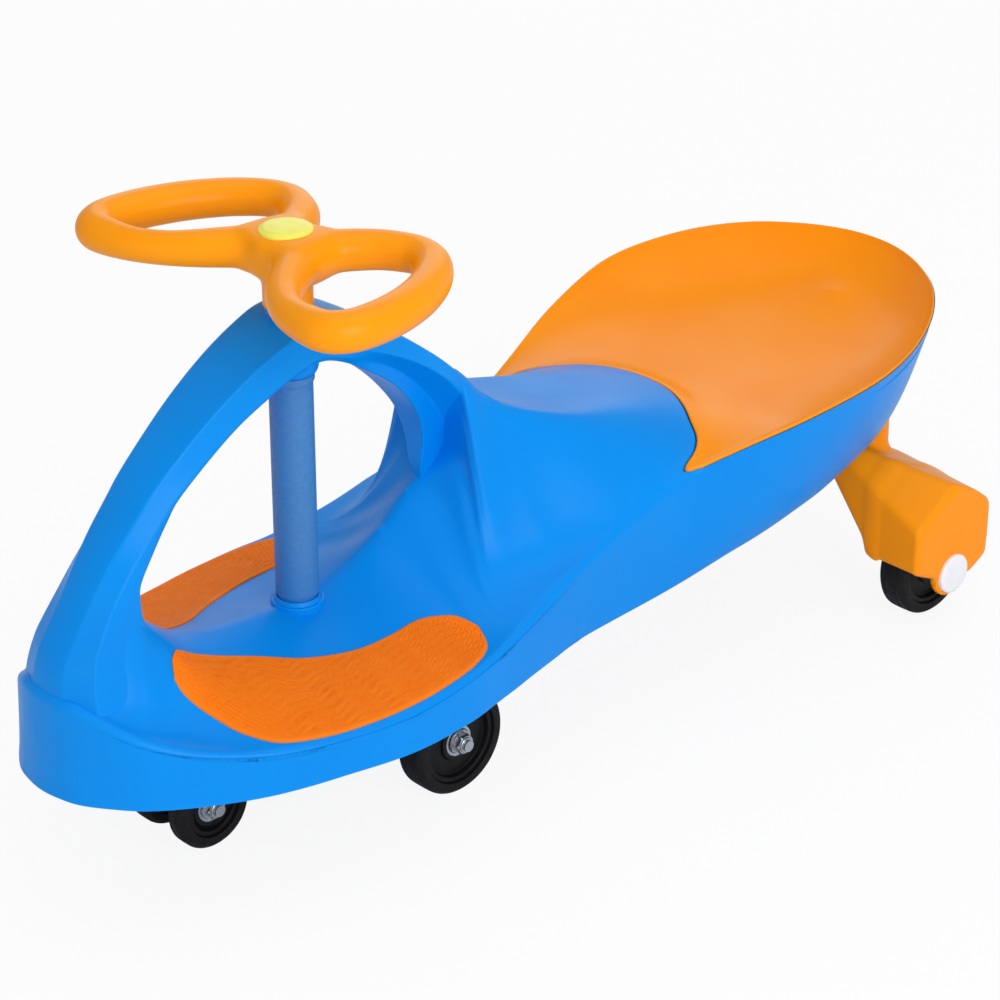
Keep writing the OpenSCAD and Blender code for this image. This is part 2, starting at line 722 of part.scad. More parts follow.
module pad() {
    color(pad_orange)
    union() {
        polyhedron(
            points = concat(pad_level(lay_gap + pad_wall), pad_level(lay_gap)),
            faces = concat(
                pad_grid,
                [for (f = pad_grid) [f[0] + pad_size, f[2] + pad_size, f[1] + pad_size]],
                [for (k = [0:len(pad_loop) - 1]) let (
                    a = pad_loop[k],
                    b = pad_loop[(k + 1) % len(pad_loop)]
                ) each [[a, b + pad_size, b], [a, a + pad_size, b + pad_size]]]
            ),
            convexity = 10
        );
        for (p = pad_pegs) {
            z = surface_z(p[0], p[1]);
            tube_z(p[0], p[1], z - deck_wall - peg_over, z + lay_gap + pad_wall / 2, pad_peg_d);
        }
    }
}
module foot_pad_left() {
    pad();
}
module foot_pad_right() {
    mirror([0, 1, 0])
        pad();
}

module ring_z(z0, z1, d, bore) {
    difference() {
        tube_z(column_x, 0, z0, z1, d);
        tube_z(column_x, 0, z0 - cut, z1 + cut, bore);
    }
}
module column_sleeve() {
    color(slate)
        ring_z(sleeve_low, sleeve_high, sleeve_d, shaft_d + 2 * sleeve_gap);
}
module bush(flange_z, body_z) {
    color(white)
    difference() {
        union() {
            tube_z(column_x, 0, flange_z, flange_z + bush_flange, bush_flange_d);
            tube_z(column_x, 0, body_z, body_z + bush_length, bush_d);
        }
        tube_z(column_x, 0, body_z - bush_flange - cut, body_z + bush_length + bush_flange + cut, shaft_bore);
    }
}
module upper_bush() {
    bush(upper_flange_z, upper_flange_z - bush_length);
}
module lower_bush() {
    bush(lower_flange_z, lower_boss_z);
}
module thrust_washer() {
    color(steel)
        ring_z(thrust_z, thrust_z + thrust_wall, bush_flange_d, shaft_bore);
}
module steering_shaft() {
    color(steel)
    difference() {
        tube_z(column_x, 0, shaft_low, shaft_top, shaft_d);
        tube_z(column_x, 0, shaft_top - screw_length - cut, shaft_top + cut, screw_d + 2 * fit_gap);
    }
}

// Loop of the steering wheel: a round tube along a swept oval
loop_steps = 36;
tube_steps = 12;
loop_power = 2.15;
function soften(v) = sign(v) * pow(abs(v), 2 / loop_power);
function loop_axis(a) = let (
    u = loop_long * soften(cos(a)),
    v = loop_short * soften(sin(a))
) [
    column_x + loop_lead + u * sin(loop_sweep) + v * cos(loop_sweep),
    loop_reach + u * cos(loop_sweep) - v * sin(loop_sweep),
    loop_height
];
function loop_ring(i) = let (
    a = (i + 0.5) * 360 / loop_steps,
    turn = 360 / loop_steps,
    d = unit(loop_axis(a + turn) - loop_axis(a - turn)),
    out = [d[1], -d[0], 0]
) [for (k = [0:tube_steps - 1]) let (b = (k + 0.5) * 360 / tube_steps)
    loop_axis(a) + loop_tube_d / 2 * (out * cos(b) + [0, 0, 1] * sin(b))];
module loop() {
    polyhedron(
        points = [for (i = [0:loop_steps - 1]) each loop_ring(i)],
        faces = [for (i = [0:loop_steps - 1], k = [0:tube_steps - 1]) let (
            a = i * tube_steps + k,
            b = i * tube_steps + (k + 1) % tube_steps,
            c = ((i + 1) % loop_steps) * tube_steps + (k + 1) % tube_steps,
            d = ((i + 1) % loop_steps) * tube_steps + k
        ) each [[a, b, c], [a, c, d]]],
        convexity = 10
    );
}
module steering_wheel() {
    color(orange)
    difference() {
        union() {
            loop();
            mirror([0, 1, 0])
                loop();
            tube_z(column_x, 0, hub_low, hub_top, hub_d);
            tube_z(column_x, 0, neck_z, hub_low + cut, neck_d);
        }
        tube_z(column_x, 0, neck_z - cut, shaft_top, shaft_bore);
        tube_z(column_x, 0, shaft_top, hub_top, pocket_d);
        tube_z(column_x, 0, hub_top - cap_seat, hub_top + cut, cap_d + 2 * fit_gap);
    }
}
module hub_cap() {
    r = cap_d / 2;
    color(yellow)
        translate([column_x, 0, hub_top - cap_seat])
            rotate_extrude()
                polygon([
                    [0, 0], [r, 0], [r, cap_seat],
                    [r - cap_rise, cap_seat + cap_rise], [0, cap_seat + cap_rise]
                ]);
}
module hub_screw() {
    color(steel)
    union() {
        tube_z(column_x, 0, shaft_top - screw_length, shaft_top + screw_washer + screw_head, screw_d);
        translate([column_x, 0, shaft_top + screw_washer])
            cylinder(d = screw_head_d, h = screw_head, $fn = 6);
    }
}
module hub_washer() {
    color(steel)
        ring_z(shaft_top, shaft_top + screw_washer, pocket_d - 2 * run_gap, screw_d + 2 * fit_gap);
}

// Front bracket under the body
bore_d = axle_d + 2 * fit_gap;
core_hub = 2 * bearing_w + bearing_gap;
main_y = main_track / 2;
safety_y = safety_track / 2;
main_leg = main_y - wheel_w / 2 - main_clear;
safety_leg = safety_y - safety_w / 2 - safety_clear;
main_hub_out = main_y + core_hub / 2 + run_gap;
main_nut = main_hub_out + washer_wall;
main_end = main_nut + nut_w + bolt_end;
safety_hub_out = safety_y + bearing_w / 2 + run_gap;
safety_end = safety_hub_out + nut_w + bolt_end;
module leg(x, z, y) {
    top = plate_height - z;
    along_y(x, z, y - plate_wall, y)
        difference() {
            union() {
                circle(d = ear_d);
                translate([-ear_d / 2, -top])
                    square([ear_d, top]);
            }
            circle(d = bore_d);
        }
}
module front_bracket() {
    color(steel)
    difference() {
        union() {
            translate([column_x, 0, plate_height - plate_wall])
                linear_extrude(plate_wall)
                    polygon([
                        [-main_trail - ear_d / 2, -main_leg], [ear_d / 2 - main_trail, -main_leg],
                        [safety_lead + ear_d / 2, -safety_leg], [safety_lead + ear_d / 2, safety_leg],
                        [ear_d / 2 - main_trail, main_leg], [-main_trail - ear_d / 2, main_leg]
                    ]);
            tube_z(column_x, 0, plate_height - plate_wall, thrust_z, bush_flange_d);
            both() {
                leg(main_x, wheel_r, main_leg);
                leg(safety_x, safety_z, safety_leg);
            }
        }
        tube_z(column_x, 0, plate_height - plate_wall - cut, thrust_z + cut, shaft_bore);
    }
}
module ring_y(x, z, y0, y1, d, bore) {
    along_y(x, z, y0, y1)
        difference() {
            circle(d = d);
            circle(d = bore);
        }
}
module nut(x, z, y0) {
    along_y(x, z, y0, y0 + nut_w)
        difference() {
            circle(d = nut_d, $fn = 6);
            circle(d = bore_d);
        }
}
module main_axle() {
    color(steel)
        tube_y(main_x, wheel_r, -main_end, main_end, axle_d);
}
module main_spacers() {
    color(steel)
        both()
            ring_y(main_x, wheel_r, main_leg, main_y - core_hub / 2 - run_gap, spacer_d, bore_d);
}
module main_washers() {
    color(steel)
        both()
            ring_y(main_x, wheel_r, main_hub_out, main_nut, washer_d, bore_d);
}
module main_nuts() {
    color(steel)
        both()
            nut(main_x, wheel_r, main_nut);
}
module safety_axle() {
    color(steel)
        tube_y(safety_x, safety_z, -safety_end, safety_end, axle_d);
}
module safety_spacers() {
    color(steel)
        both()
            ring_y(safety_x, safety_z, safety_leg, safety_y - bearing_w / 2 - run_gap, spacer_d, bore_d);
}
module safety_nuts() {
    color(steel)
        both()
            nut(safety_x, safety_z, safety_hub_out);
}

// Wheels: a tyre on a core with a bored hub, running on ball bearings
web_share = 0.25;
module turned_y(x, y, z) {
    translate([x, y, z])
        rotate([-90, 0, 0])
            rotate_extrude()
                children();
}
module tyre(x, y, z, d, w) {
    r = d / 2;
    color(black)
        turned_y(x, y, z)
            polygon([
                [r - tyre_wall, -w / 2], [r - tyre_bevel, -w / 2], [r, tyre_bevel - w / 2],
                [r, w / 2 - tyre_bevel], [r - tyre_bevel, w / 2], [r - tyre_wall, w / 2]
            ]);
}
module wheel_core(x, y, z, d, w, hub) {
    r = d / 2 - tyre_wall - fit_gap;
    r_rim = r - core_rim;
    r_hub = bearing_d / 2 + hub_wall;
    r_bore = bearing_d / 2 + fit_gap;
    rim_half = w / 2 - tyre_bevel;
    web_half = web_share * hub;
    color(black)
        turned_y(x, y, z)
            polygon([
                [r_bore, -hub / 2], [r_hub, -hub / 2], [r_hub, -web_half], [r_rim, -web_half],
                [r_rim, -rim_half], [r, -rim_half], [r, rim_half], [r_rim, rim_half],
                [r_rim, web_half], [r_hub, web_half], [r_hub, hub / 2], [r_bore, hub / 2]
            ]);
}
module bearing(x, y, z) {
    color(steel)
        ring_y(x, z, y - bearing_w / 2, y + bearing_w / 2, bearing_d, bore_d);
}
module bearing_pair(x, y, z) {
    for (k = [-1, 1])
        bearing(x, y + k * (core_hub - bearing_w) / 2, z);
}
module main_tyre_left() {
    tyre(main_x, main_y, wheel_r, wheel_d, wheel_w);
}
module main_core_left() {
    wheel_core(main_x, main_y, wheel_r, wheel_d, wheel_w, core_hub);
}
module main_bearings_left() {
    bearing_pair(main_x, main_y, wheel_r);
}
module main_tyre_right() {
    tyre(main_x, -main_y, wheel_r, wheel_d, wheel_w);
}
module main_core_right() {
    wheel_core(main_x, -main_y, wheel_r, wheel_d, wheel_w, core_hub);
}
module main_bearings_right() {
    bearing_pair(main_x, -main_y, wheel_r);
}
module safety_tyre_left() {
    tyre(safety_x, safety_y, safety_z, safety_d, safety_w);
}
module safety_core_left() {
    wheel_core(safety_x, safety_y, safety_z, safety_d, safety_w, bearing_w);
}
module safety_bearing_left() {
    bearing(safety_x, safety_y, safety_z);
}
module safety_tyre_right() {
    tyre(safety_x, -safety_y, safety_z, safety_d, safety_w);
}
module safety_core_right() {
    wheel_core(safety_x, -safety_y, safety_z, safety_d, safety_w, bearing_w);
}
module safety_bearing_right() {
    bearing(safety_x, -safety_y, safety_z);
}
module rear_tyre_left() {
    tyre(rear_x, rear_y, wheel_r, wheel_d, wheel_w);
}
module rear_core_left() {
    wheel_core(rear_x, rear_y, wheel_r, wheel_d, wheel_w, core_hub);
}
module rear_bearings_left() {
    bearing_pair(rear_x, rear_y, wheel_r);
}
module rear_tyre_right() {
    tyre(rear_x, -rear_y, wheel_r, wheel_d, wheel_w);
}
module rear_core_right() {
    wheel_core(rear_x, -rear_y, wheel_r, wheel_d, wheel_w, core_hub);
}
module rear_bearings_right() {
    bearing_pair(rear_x, -rear_y, wheel_r);
}

// Rear arm: hood over the wheel, sloping neck and round post into the body
module hood_outline() {
    f = hood_length / 2;
    polygon([
        [f, -hood_low], [f, -hood_front], [f - hood_bevel, -hood_top],
        [hood_tail - f, -hood_back], [-f, -hood_rear], [-f, -hood_low]
    ]);
}
module ear(y0, y1) {
    r = hood_ear_d / 2;
    drop = hood_low + hood_wall - wheel_r;
    along_y(rear_x, wheel_r, y0, y1)
        union() {
            circle(r = r);
            translate([-r, -drop])
                square([2 * r, drop]);
        }
}
module rear_arm() {
    inside = hood_length - 2 * hood_end;
    y0 = hood_in + hood_wall;
    y1 = hood_out - hood_wall;
    color(orange)
    difference() {
        union() {
            difference() {
                along_y(rear_x, 0, hood_in, hood_out)
                    hood_outline();
                translate([rear_x - inside / 2, y0, hood_low - cut])
                    cube([inside, y1 - y0, well_top - hood_low + cut]);
            }
            ear(hood_in, y0);
            ear(y1, hood_out);
            intersection() {
                along_y(rear_x, 0, neck_start, y0)
                    hood_outline();
                translate([rear_x - hood_length, 0, 0])
                    rotate([90, 0, 90])
                        linear_extrude(2 * hood_length)
                            polygon([
                                [neck_start, hood_top + cut], [neck_start, neck_low],
                                [y0, hood_low], [y0, hood_top + cut]
                            ]);
            }
            tube_z(rear_x, post_y, neck_low - hood_wall, post_top, post_d);
        }
        tube_y(rear_x, wheel_r, hood_in - cut, hood_out + cut, bore_d);
    }
}
module rear_arm_left() {
    rear_arm();
}
module rear_arm_right() {
    mirror([0, 1, 0])
        rear_arm();
}
rear_nut = hood_in - nut_w;
axle_out = hood_out - axle_recess;
module rear_axles() {
    color(steel)
        both()
            tube_y(rear_x, wheel_r, rear_nut - bolt_end, axle_out, axle_d);
}
module rear_spacers() {
    hub_in = rear_y - core_hub / 2 - run_gap;
    hub_out = rear_y + core_hub / 2 + run_gap;
    color(steel)
        both() {
            ring_y(rear_x, wheel_r, hood_in + hood_wall, hub_in, spacer_d, bore_d);
            ring_y(rear_x, wheel_r, hub_out, hood_out - hood_wall, spacer_d, bore_d);
        }
}
module rear_nuts() {
    color(steel)
        both()
            nut(rear_x, wheel_r, rear_nut);
}
module axle_cover() {
    r = axle_cap_d / 2;
    plug = run_gap - axle_recess;
    color(white)
        turned_y(rear_x, hood_out, wheel_r)
            polygon([
                [0, plug], [axle_d / 2, plug], [axle_d / 2, 0], [r, 0],
                [r, axle_cap - cap_bevel], [r - cap_bevel, axle_cap], [0, axle_cap]
            ]);
}
module axle_cap_left() {
    axle_cover();
}
module axle_cap_right() {
    mirror([0, 1, 0])
        axle_cover();
}

body_shell();
seat();
foot_pad_left();
foot_pad_right();
column_sleeve();
upper_bush();
lower_bush();
thrust_washer();
steering_shaft();
steering_wheel();
hub_cap();
hub_screw();
hub_washer();
front_bracket();
main_axle();
main_spacers();
main_washers();
main_nuts();
main_tyre_left();
main_core_left();
main_bearings_left();
main_tyre_right();
main_core_right();
main_bearings_right();
safety_axle();
safety_spacers();
safety_nuts();
safety_tyre_left();
safety_core_left();
safety_bearing_left();
safety_tyre_right();
safety_core_right();
safety_bearing_right();
rear_arm_left();
rear_arm_right();
rear_axles();
rear_spacers();
rear_nuts();
rear_tyre_left();
rear_core_left();
rear_bearings_left();
rear_tyre_right();
rear_core_right();
rear_bearings_right();
axle_cap_left();
axle_cap_right();
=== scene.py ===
"""Ride-on wiggle car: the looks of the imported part, in its own frame.

Shapes are worked out in millimetres and put into the meshes in metres: +X is the nose, +Y the car's left
and +Z up. The tables of the body and the steering wheel count x from the column.
"""
import bpy
import numpy as np
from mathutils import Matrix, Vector


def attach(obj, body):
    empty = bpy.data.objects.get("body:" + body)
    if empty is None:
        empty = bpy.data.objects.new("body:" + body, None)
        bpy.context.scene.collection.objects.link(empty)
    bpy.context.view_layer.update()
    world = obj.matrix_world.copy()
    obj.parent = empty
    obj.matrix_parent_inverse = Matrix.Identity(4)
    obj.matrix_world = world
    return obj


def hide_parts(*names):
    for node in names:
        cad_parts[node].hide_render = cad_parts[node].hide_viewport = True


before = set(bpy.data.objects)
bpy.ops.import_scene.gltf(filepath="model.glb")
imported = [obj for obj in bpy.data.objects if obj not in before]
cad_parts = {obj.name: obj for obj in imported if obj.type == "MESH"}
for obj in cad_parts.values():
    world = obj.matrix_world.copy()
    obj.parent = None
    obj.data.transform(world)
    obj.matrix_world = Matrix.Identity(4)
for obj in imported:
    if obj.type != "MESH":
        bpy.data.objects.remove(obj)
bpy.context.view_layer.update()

MM = 0.001
COLUMN_X = 181.0
# Centres of the left wheels
MAIN = (113.0, 71.5, 38.5)
SAFETY = (278.0, 20.5, 34.0)
REAR = (-309.0, 129.0, 38.5)
SIDES = ((1, "left"), (-1, "right"))
ORIGIN = (0, 0, 0)


# Curves, grids and meshes

def through(rows, at):
    """Catmull-Rom curve through the rows of a table: between two rows a cubic whose end slopes are half
    the difference of the neighbouring rows. A ring of rows is given with its wrapped neighbours in
    place."""
    rows = np.asarray(rows, float)
    at = np.clip(np.asarray(at, float), 0, len(rows) - 1)
    i = np.minimum(at.astype(int), len(rows) - 2)
    t = (at - i)[..., None]
    a, b = rows[i], rows[i + 1]
    slope_a = (b - rows[np.maximum(i - 1, 0)]) / 2
    slope_b = (rows[np.minimum(i + 2, len(rows) - 1)] - a) / 2
    bend_a, bend_b = slope_a - (b - a), (b - a) - slope_b
    return a + (b - a) * t + t * (1 - t) * ((1 - t) * bend_a + t * bend_b)


def rounded(points, radius, steps=5, closed=False):
    """Polyline with its corners turned into short parabolas: each corner is cut back along both of its
    sides by the radius, or by 40% of a shorter side, and a quadratic arc with the corner as its handle
    joins the two cuts. One more point on either side, a fifth of the cut further out, keeps the flats
    beside the arc flat."""
    most, hold = 0.4, 1.2
    p = np.asarray(points, float)
    if closed:
        p = np.concatenate([p[..., -1:, :], p, p[..., :1, :]], axis=-2)
    corner, back, ahead = p[..., 1:-1, :], p[..., :-2, :], p[..., 2:, :]
    length_back = np.linalg.norm(back - corner, axis=-1, keepdims=True) + 1e-9
    length_ahead = np.linalg.norm(ahead - corner, axis=-1, keepdims=True) + 1e-9
    to_start = (back - corner) / length_back * np.minimum(radius, most * length_back)
    to_end = (ahead - corner) / length_ahead * np.minimum(radius, most * length_ahead)
    t = np.linspace(0, 1, steps)
    near = np.insert((1 - t) ** 2, [0, steps], [hold, 0])[:, None]
    far = np.insert(t ** 2, [0, steps], [0, hold])[:, None]
    arc = corner[..., None, :] + near * to_start[..., None, :] + far * to_end[..., None, :]
    arc = arc.reshape(*arc.shape[:-3], -1, p.shape[-1])
    return arc if closed else np.concatenate([p[..., :1, :], arc, p[..., -1:, :]], axis=-2)


def mirrored(half):
    """Closed profile of (radius, place along the axis) from its half before the middle."""
    half = np.array(half)
    return np.concatenate([half, half[::-1] * np.array([1, -1])])


def woven(grid, wrap_u=False, wrap_v=False):
    """Points and quads of a grid of points: one quad between neighbours in both directions, and one more
    row between the last and the first where a direction wraps."""
    nu, nv = grid.shape[:2]
    u = np.arange(nu if wrap_u else nu - 1)[:, None]
    v = np.arange(nv if wrap_v else nv - 1)[None, :]
    next_u, next_v = (u + 1) % nu, (v + 1) % nv
    corners = (u * nv + v, next_u * nv + v, next_u * nv + next_v, u * nv + next_v)
    return grid.reshape(-1, 3), np.stack(np.broadcast_arrays(*corners), -1).reshape(-1, 4)


def merged(points, quads):
    """Points within a ten-thousandth of a millimetre become one, and quads that lose a corner become
    triangles. A closed form is turned so that its signed volume is positive: its faces then look
    outwards."""
    per_mm = 1e4
    _, first, inverse = np.unique(np.round(points * per_mm), axis=0, return_index=True, return_inverse=True)
    points, quads = points[first], inverse.reshape(-1)[quads]
    same = quads == np.roll(quads, -1, axis=1)
    lost = same.sum(1)
    whole, cut = quads[lost == 0], quads[lost == 1]
    tris = cut[~same[lost == 1]].reshape(-1, 3)
    tris = tris[tris[:, 0] != tris[:, 2]]
    fan = np.concatenate([whole[:, [0, 1, 2]], whole[:, [0, 2, 3]], tris])
    a, b, c = points[fan[:, 0]], points[fan[:, 1]], points[fan[:, 2]]
    if np.einsum("ij,ij->", a, np.cross(b, c)) < 0:
        whole, tris = whole[:, ::-1], tris[:, ::-1]
    return points, whole, tris


def piece(name, forms, body, material, nodes, sharp=None):
    """One object from several closed forms, riding on its body and standing for its nodes. Edges that
    bend by more than the angle sharp, in degrees, stay sharp to the light."""
    made, quads, tris, count = [], [], [], 0
    for form in forms:
        p, q, t = merged(*form)
        made.append(p)
        quads.append(q + count)
        tris.append(t + count)
        count += len(p)
    mesh = bpy.data.meshes.new(name)
    faces = np.concatenate(quads).tolist() + np.concatenate(tris).tolist()
    mesh.from_pydata((np.concatenate(made) * MM).tolist(), [], faces)
    mesh.polygons.foreach_set("use_smooth", np.ones(len(faces), bool))
    if sharp:
        mesh.set_sharp_from_angle(angle=np.radians(sharp))
    mesh.materials.append(material)
    thing = bpy.data.objects.new(name, mesh)
    bpy.context.scene.collection.objects.link(thing)
    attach(thing, body)
    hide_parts(*nodes)


def turned(profile, centre, axis="y", steps=72, flip=1):
    """Form turned on a lathe: a profile of (radius, place along the axis) carried round a circle about
    the axis through the centre. Flip -1 turns the profile end for end."""
    a = np.linspace(0, 2 * np.pi, steps, endpoint=False)[:, None]
    r, h = profile[None, :, 0], flip * profile[None, :, 1] + 0 * a
    if axis == "y":
        grid = np.stack([centre[0] + r * np.cos(a), centre[1] + h, centre[2] + r * np.sin(a)], -1)
    else:
        grid = np.stack([centre[0] + r * np.cos(a), centre[1] + r * np.sin(a), centre[2] + h], -1)
    return woven(grid, True, True)


def ring_profile(r_in, r_out, low, high, radius=1.0):
    """Closed profile of a plain ring with its four edges rounded."""
    return rounded([(r_in, low), (r_out, low), (r_out, high), (r_in, high)], radius, 4, True)


def shifted(form):
    """A form given from the column, moved to the part's frame."""
    return form[0] + np.array([COLUMN_X, 0, 0]), form[1]


# Blended forms, as fields that are negative inside

def smin(a, b, k):
    """Smaller of two fields, with the crease between them filled by a parabola of width k."""
    h = np.clip(0.5 + 0.5 * (b - a) / k, 0, 1)
    return b + (a - b) * h - k * h * (1 - h)


def smax(a, b, k):
    """Larger of two fields, with the edge between them rounded over a width k."""
    return -smin(-a, -b, k)


def slab(v, low, high):
    """Field of the space between two levels of a coordinate."""
    return np.maximum(low - v, v - high)


def half_plane(a, b, x, z):
    """Field of the space to the right of the line from a to b."""
    return ((x - a[0]) * (a[1] - b[1]) + (z - a[1]) * (b[0] - a[0])) / -np.hypot(a[0] - b[0], a[1] - b[1])


def level_skin(field, low, high, pitch):
    """Skin of a blended form, where a field of (x, y, z) is zero: one point in each cell that the skin
    crosses, at the mean of the crossings on its edges, moved onto the skin along the field's slope, and
    one quad round each crossed edge. It gives the webs between round forms that no single swept profile
    gives."""
    axes = [np.arange(a, b + pitch, pitch) for a, b in zip(low, high)]
    f = field(*np.meshgrid(*axes, indexing="ij"))
    cells = np.array(f.shape) - 1
    total, hits = np.zeros((*cells, 3)), np.zeros(cells)

    def corner(offset):
        return tuple(slice(k, k + n) for k, n in zip(offset, cells))

    for axis in range(3):
        for other in ((0, 0), (0, 1), (1, 0), (1, 1)):
            start, end = np.insert(other, axis, 0), np.insert(other, axis, 1)
            fa, fb = f[corner(start)], f[corner(end)]
            cross = (fa < 0) != (fb < 0)
            place = np.broadcast_to(start.astype(float), total.shape).copy()
            place[..., axis] = np.where(cross, fa / np.where(cross, fa - fb, 1), 0)
            total += place * cross[..., None]
            hits += cross
    live = hits > 0
    index = np.cumsum(live).reshape(live.shape) - 1
    points = (np.argwhere(live) + total[live] / hits[live][:, None]) * pitch + np.array(low)

    step, least_slope = 0.05, 0.25
    for _ in range(3):
        here = field(*points.T)
        slope = np.stack([(field(*(points + step * d).T) - here) / step for d in np.eye(3)], -1)
        steep = np.maximum((slope ** 2).sum(1), least_slope)[:, None]
        points -= np.clip(here, -pitch, pitch)[:, None] * slope / steep

    quads = []
    for axis in range(3):
        j, k = [a for a in range(3) if a != axis]
        cut = [slice(1, -1)] * 3
        cut[axis] = slice(None, -1)
        ahead = list(cut)
        ahead[axis] = slice(1, None)
        fa, fb = f[tuple(cut)], f[tuple(ahead)]
        at = np.argwhere((fa < 0) != (fb < 0))
        rising = (fa < 0)[tuple(at.T)]
        at[:, [j, k]] += 1
        dj, dk = np.eye(3, dtype=int)[j], np.eye(3, dtype=int)[k]
        four = np.stack([index[tuple((at - a).T)] for a in (dj + dk, dk, 0 * dj, dj)], -1)
        turn = rising if axis != 1 else ~rising
        quads.append(np.where(turn[:, None], four, four[:, ::-1]))
    return points, np.concatenate(quads)


# Materials

def linear(code):
    """Linear colour of an sRGB hex value."""
    c = np.array([int(code[i:i + 2], 16) for i in (1, 3, 5)]) / 255
    return (*np.where(c <= 0.04045, c / 12.92, ((c + 0.055) / 1.055) ** 2.4), 1.0)


def node(tree, kind, sockets=None, **settings):
    """Adds one node: settings go on the node, and sockets are set, or linked where the value is a
    socket."""
    made = tree.nodes.new(kind)
    for key, value in settings.items():
        setattr(made, key, value)
    for key, value in (sockets or {}).items():
        if isinstance(value, bpy.types.NodeSocket):
            tree.links.new(value, made.inputs[key])
        else:
            made.inputs[key].default_value = value
    return made


def finish_of(name, light, dark, cloud, rough, grain, bump, metallic=0.0, ior=1.49, shine=0.5):
    """Material with a colour that drifts between two close shades over clouds of a given size in
    millimetres, a roughness that drifts with it between two values, and a fine surface grain of a given
    size and depth."""
    m = bpy.data.materials.new(name)
    m.use_nodes = True
    t = m.node_tree
    t.nodes.clear()
    out = node(t, "ShaderNodeOutputMaterial")
    where = node(t, "ShaderNodeTexCoord").outputs["Object"]
    drift = node(t, "ShaderNodeTexNoise", {"Vector": where, "Scale": 1 / (cloud * MM), "Detail": 3.0})
    colour = node(t, "ShaderNodeMix", {"Factor": drift.outputs["Fac"], 6: linear(light), 7: linear(dark)},
                  data_type="RGBA")
    gloss = node(t, "ShaderNodeMapRange", {"Value": drift.outputs["Fac"], "From Min": 0.3, "From Max": 0.7,
                                           "To Min": rough[0], "To Max": rough[1]})
    fine = node(t, "ShaderNodeTexNoise", {"Vector": where, "Scale": 1 / (grain * MM), "Detail": 2.0})
    relief = node(t, "ShaderNodeBump", {"Height": fine.outputs["Fac"], "Strength": 1.0,
                                        "Distance": bump * MM})
    shader = node(t, "ShaderNodeBsdfPrincipled",
                  {"Base Color": colour.outputs[2], "Roughness": gloss.outputs["Result"],
                   "Normal": relief.outputs["Normal"], "Metallic": metallic, "IOR": ior,
                   "Specular IOR Level": shine})
    t.links.new(shader.outputs["BSDF"], out.inputs["Surface"])
    return m


# Blue polypropylene, injection moulded and lightly spark-eroded: satin, with broad soft reflections.
# The eroded grain is about 0.2 mm and is drawn at 0.9 mm, so that it shows.
BLUE = finish_of("blue_moulded_polypropylene", "#0090EE", "#0088E6", 45, (0.3, 0.38), 0.9, 0.010,
                 shine=0.12)
# Orange polypropylene of the seat and the rear arms: the same mould finish, a little glossier.
ORANGE = finish_of("orange_moulded_polypropylene", "#FF9A04", "#FF9000", 45, (0.28, 0.36), 0.9, 0.008,
                   shine=0.16)
# The steering wheel's orange is a little yellower than the seat's. This is a painted highlight: it stands in
# for the yellowish light on the loops' lit crests.
ORANGE_PAINTED_HIGHLIGHT = finish_of("orange_polypropylene_painted_highlight", "#FFA20C", "#FF9804", 45, (0.28, 0.36), 0.9, 0.008,
                  shine=0.16)
# Deep orange thermoplastic rubber of the foot pads: matt.
PAD = finish_of("orange_thermoplastic_rubber", "#FF8200", "#FA7600", 12, (0.55, 0.66), 0.6, 0.03, shine=0.2)
# Slate blue sleeve, polypropylene with a fine mineral sparkle.
SLATE = finish_of("slate_mineral_filled_polypropylene", "#3E84C6", "#3076B8", 3, (0.42, 0.55), 0.5, 0.03)
# Pale yellow polyethylene of the hub's cap: smooth and waxy.
YELLOW = finish_of("pale_yellow_polyethylene", "#F7F266", "#F0EA58", 9, (0.30, 0.40), 0.6, 0.006)
# White polyethylene of the axle caps and the lower bush.
WHITE = finish_of("white_polyethylene", "#F4F5F8", "#E8EAF0", 9, (0.30, 0.40), 0.6, 0.006)
# Black polyurethane tread: cast, dull, with a dusty bloom.
TYRE = finish_of("black_cast_polyurethane", "#161517", "#0E0D0F", 6, (0.5, 0.66), 0.7, 0.02, shine=0.2)
# Black nylon of the wheel cores: moulded, a little smoother than the tread.
CORE = finish_of("black_moulded_nylon", "#121213", "#0B0B0C", 8, (0.4, 0.52), 0.7, 0.010, shine=0.2)
# Steel bracket with a black powder coat, which has a fine orange-peel grain.
POWDER = finish_of("black_powder_coated_steel", "#1E1F21", "#17181A", 5, (0.40, 0.50), 0.8, 0.03, ior=1.5)
# Zinc plating of the shaft, axles, nuts, washers and bearings.
ZINC = finish_of("zinc_plated_steel", "#C9CCD0", "#AEB2B8", 4, (0.22, 0.38), 0.4, 0.004, metallic=1.0,
                 ior=1.5)


# Body: a moulded hull with its arch

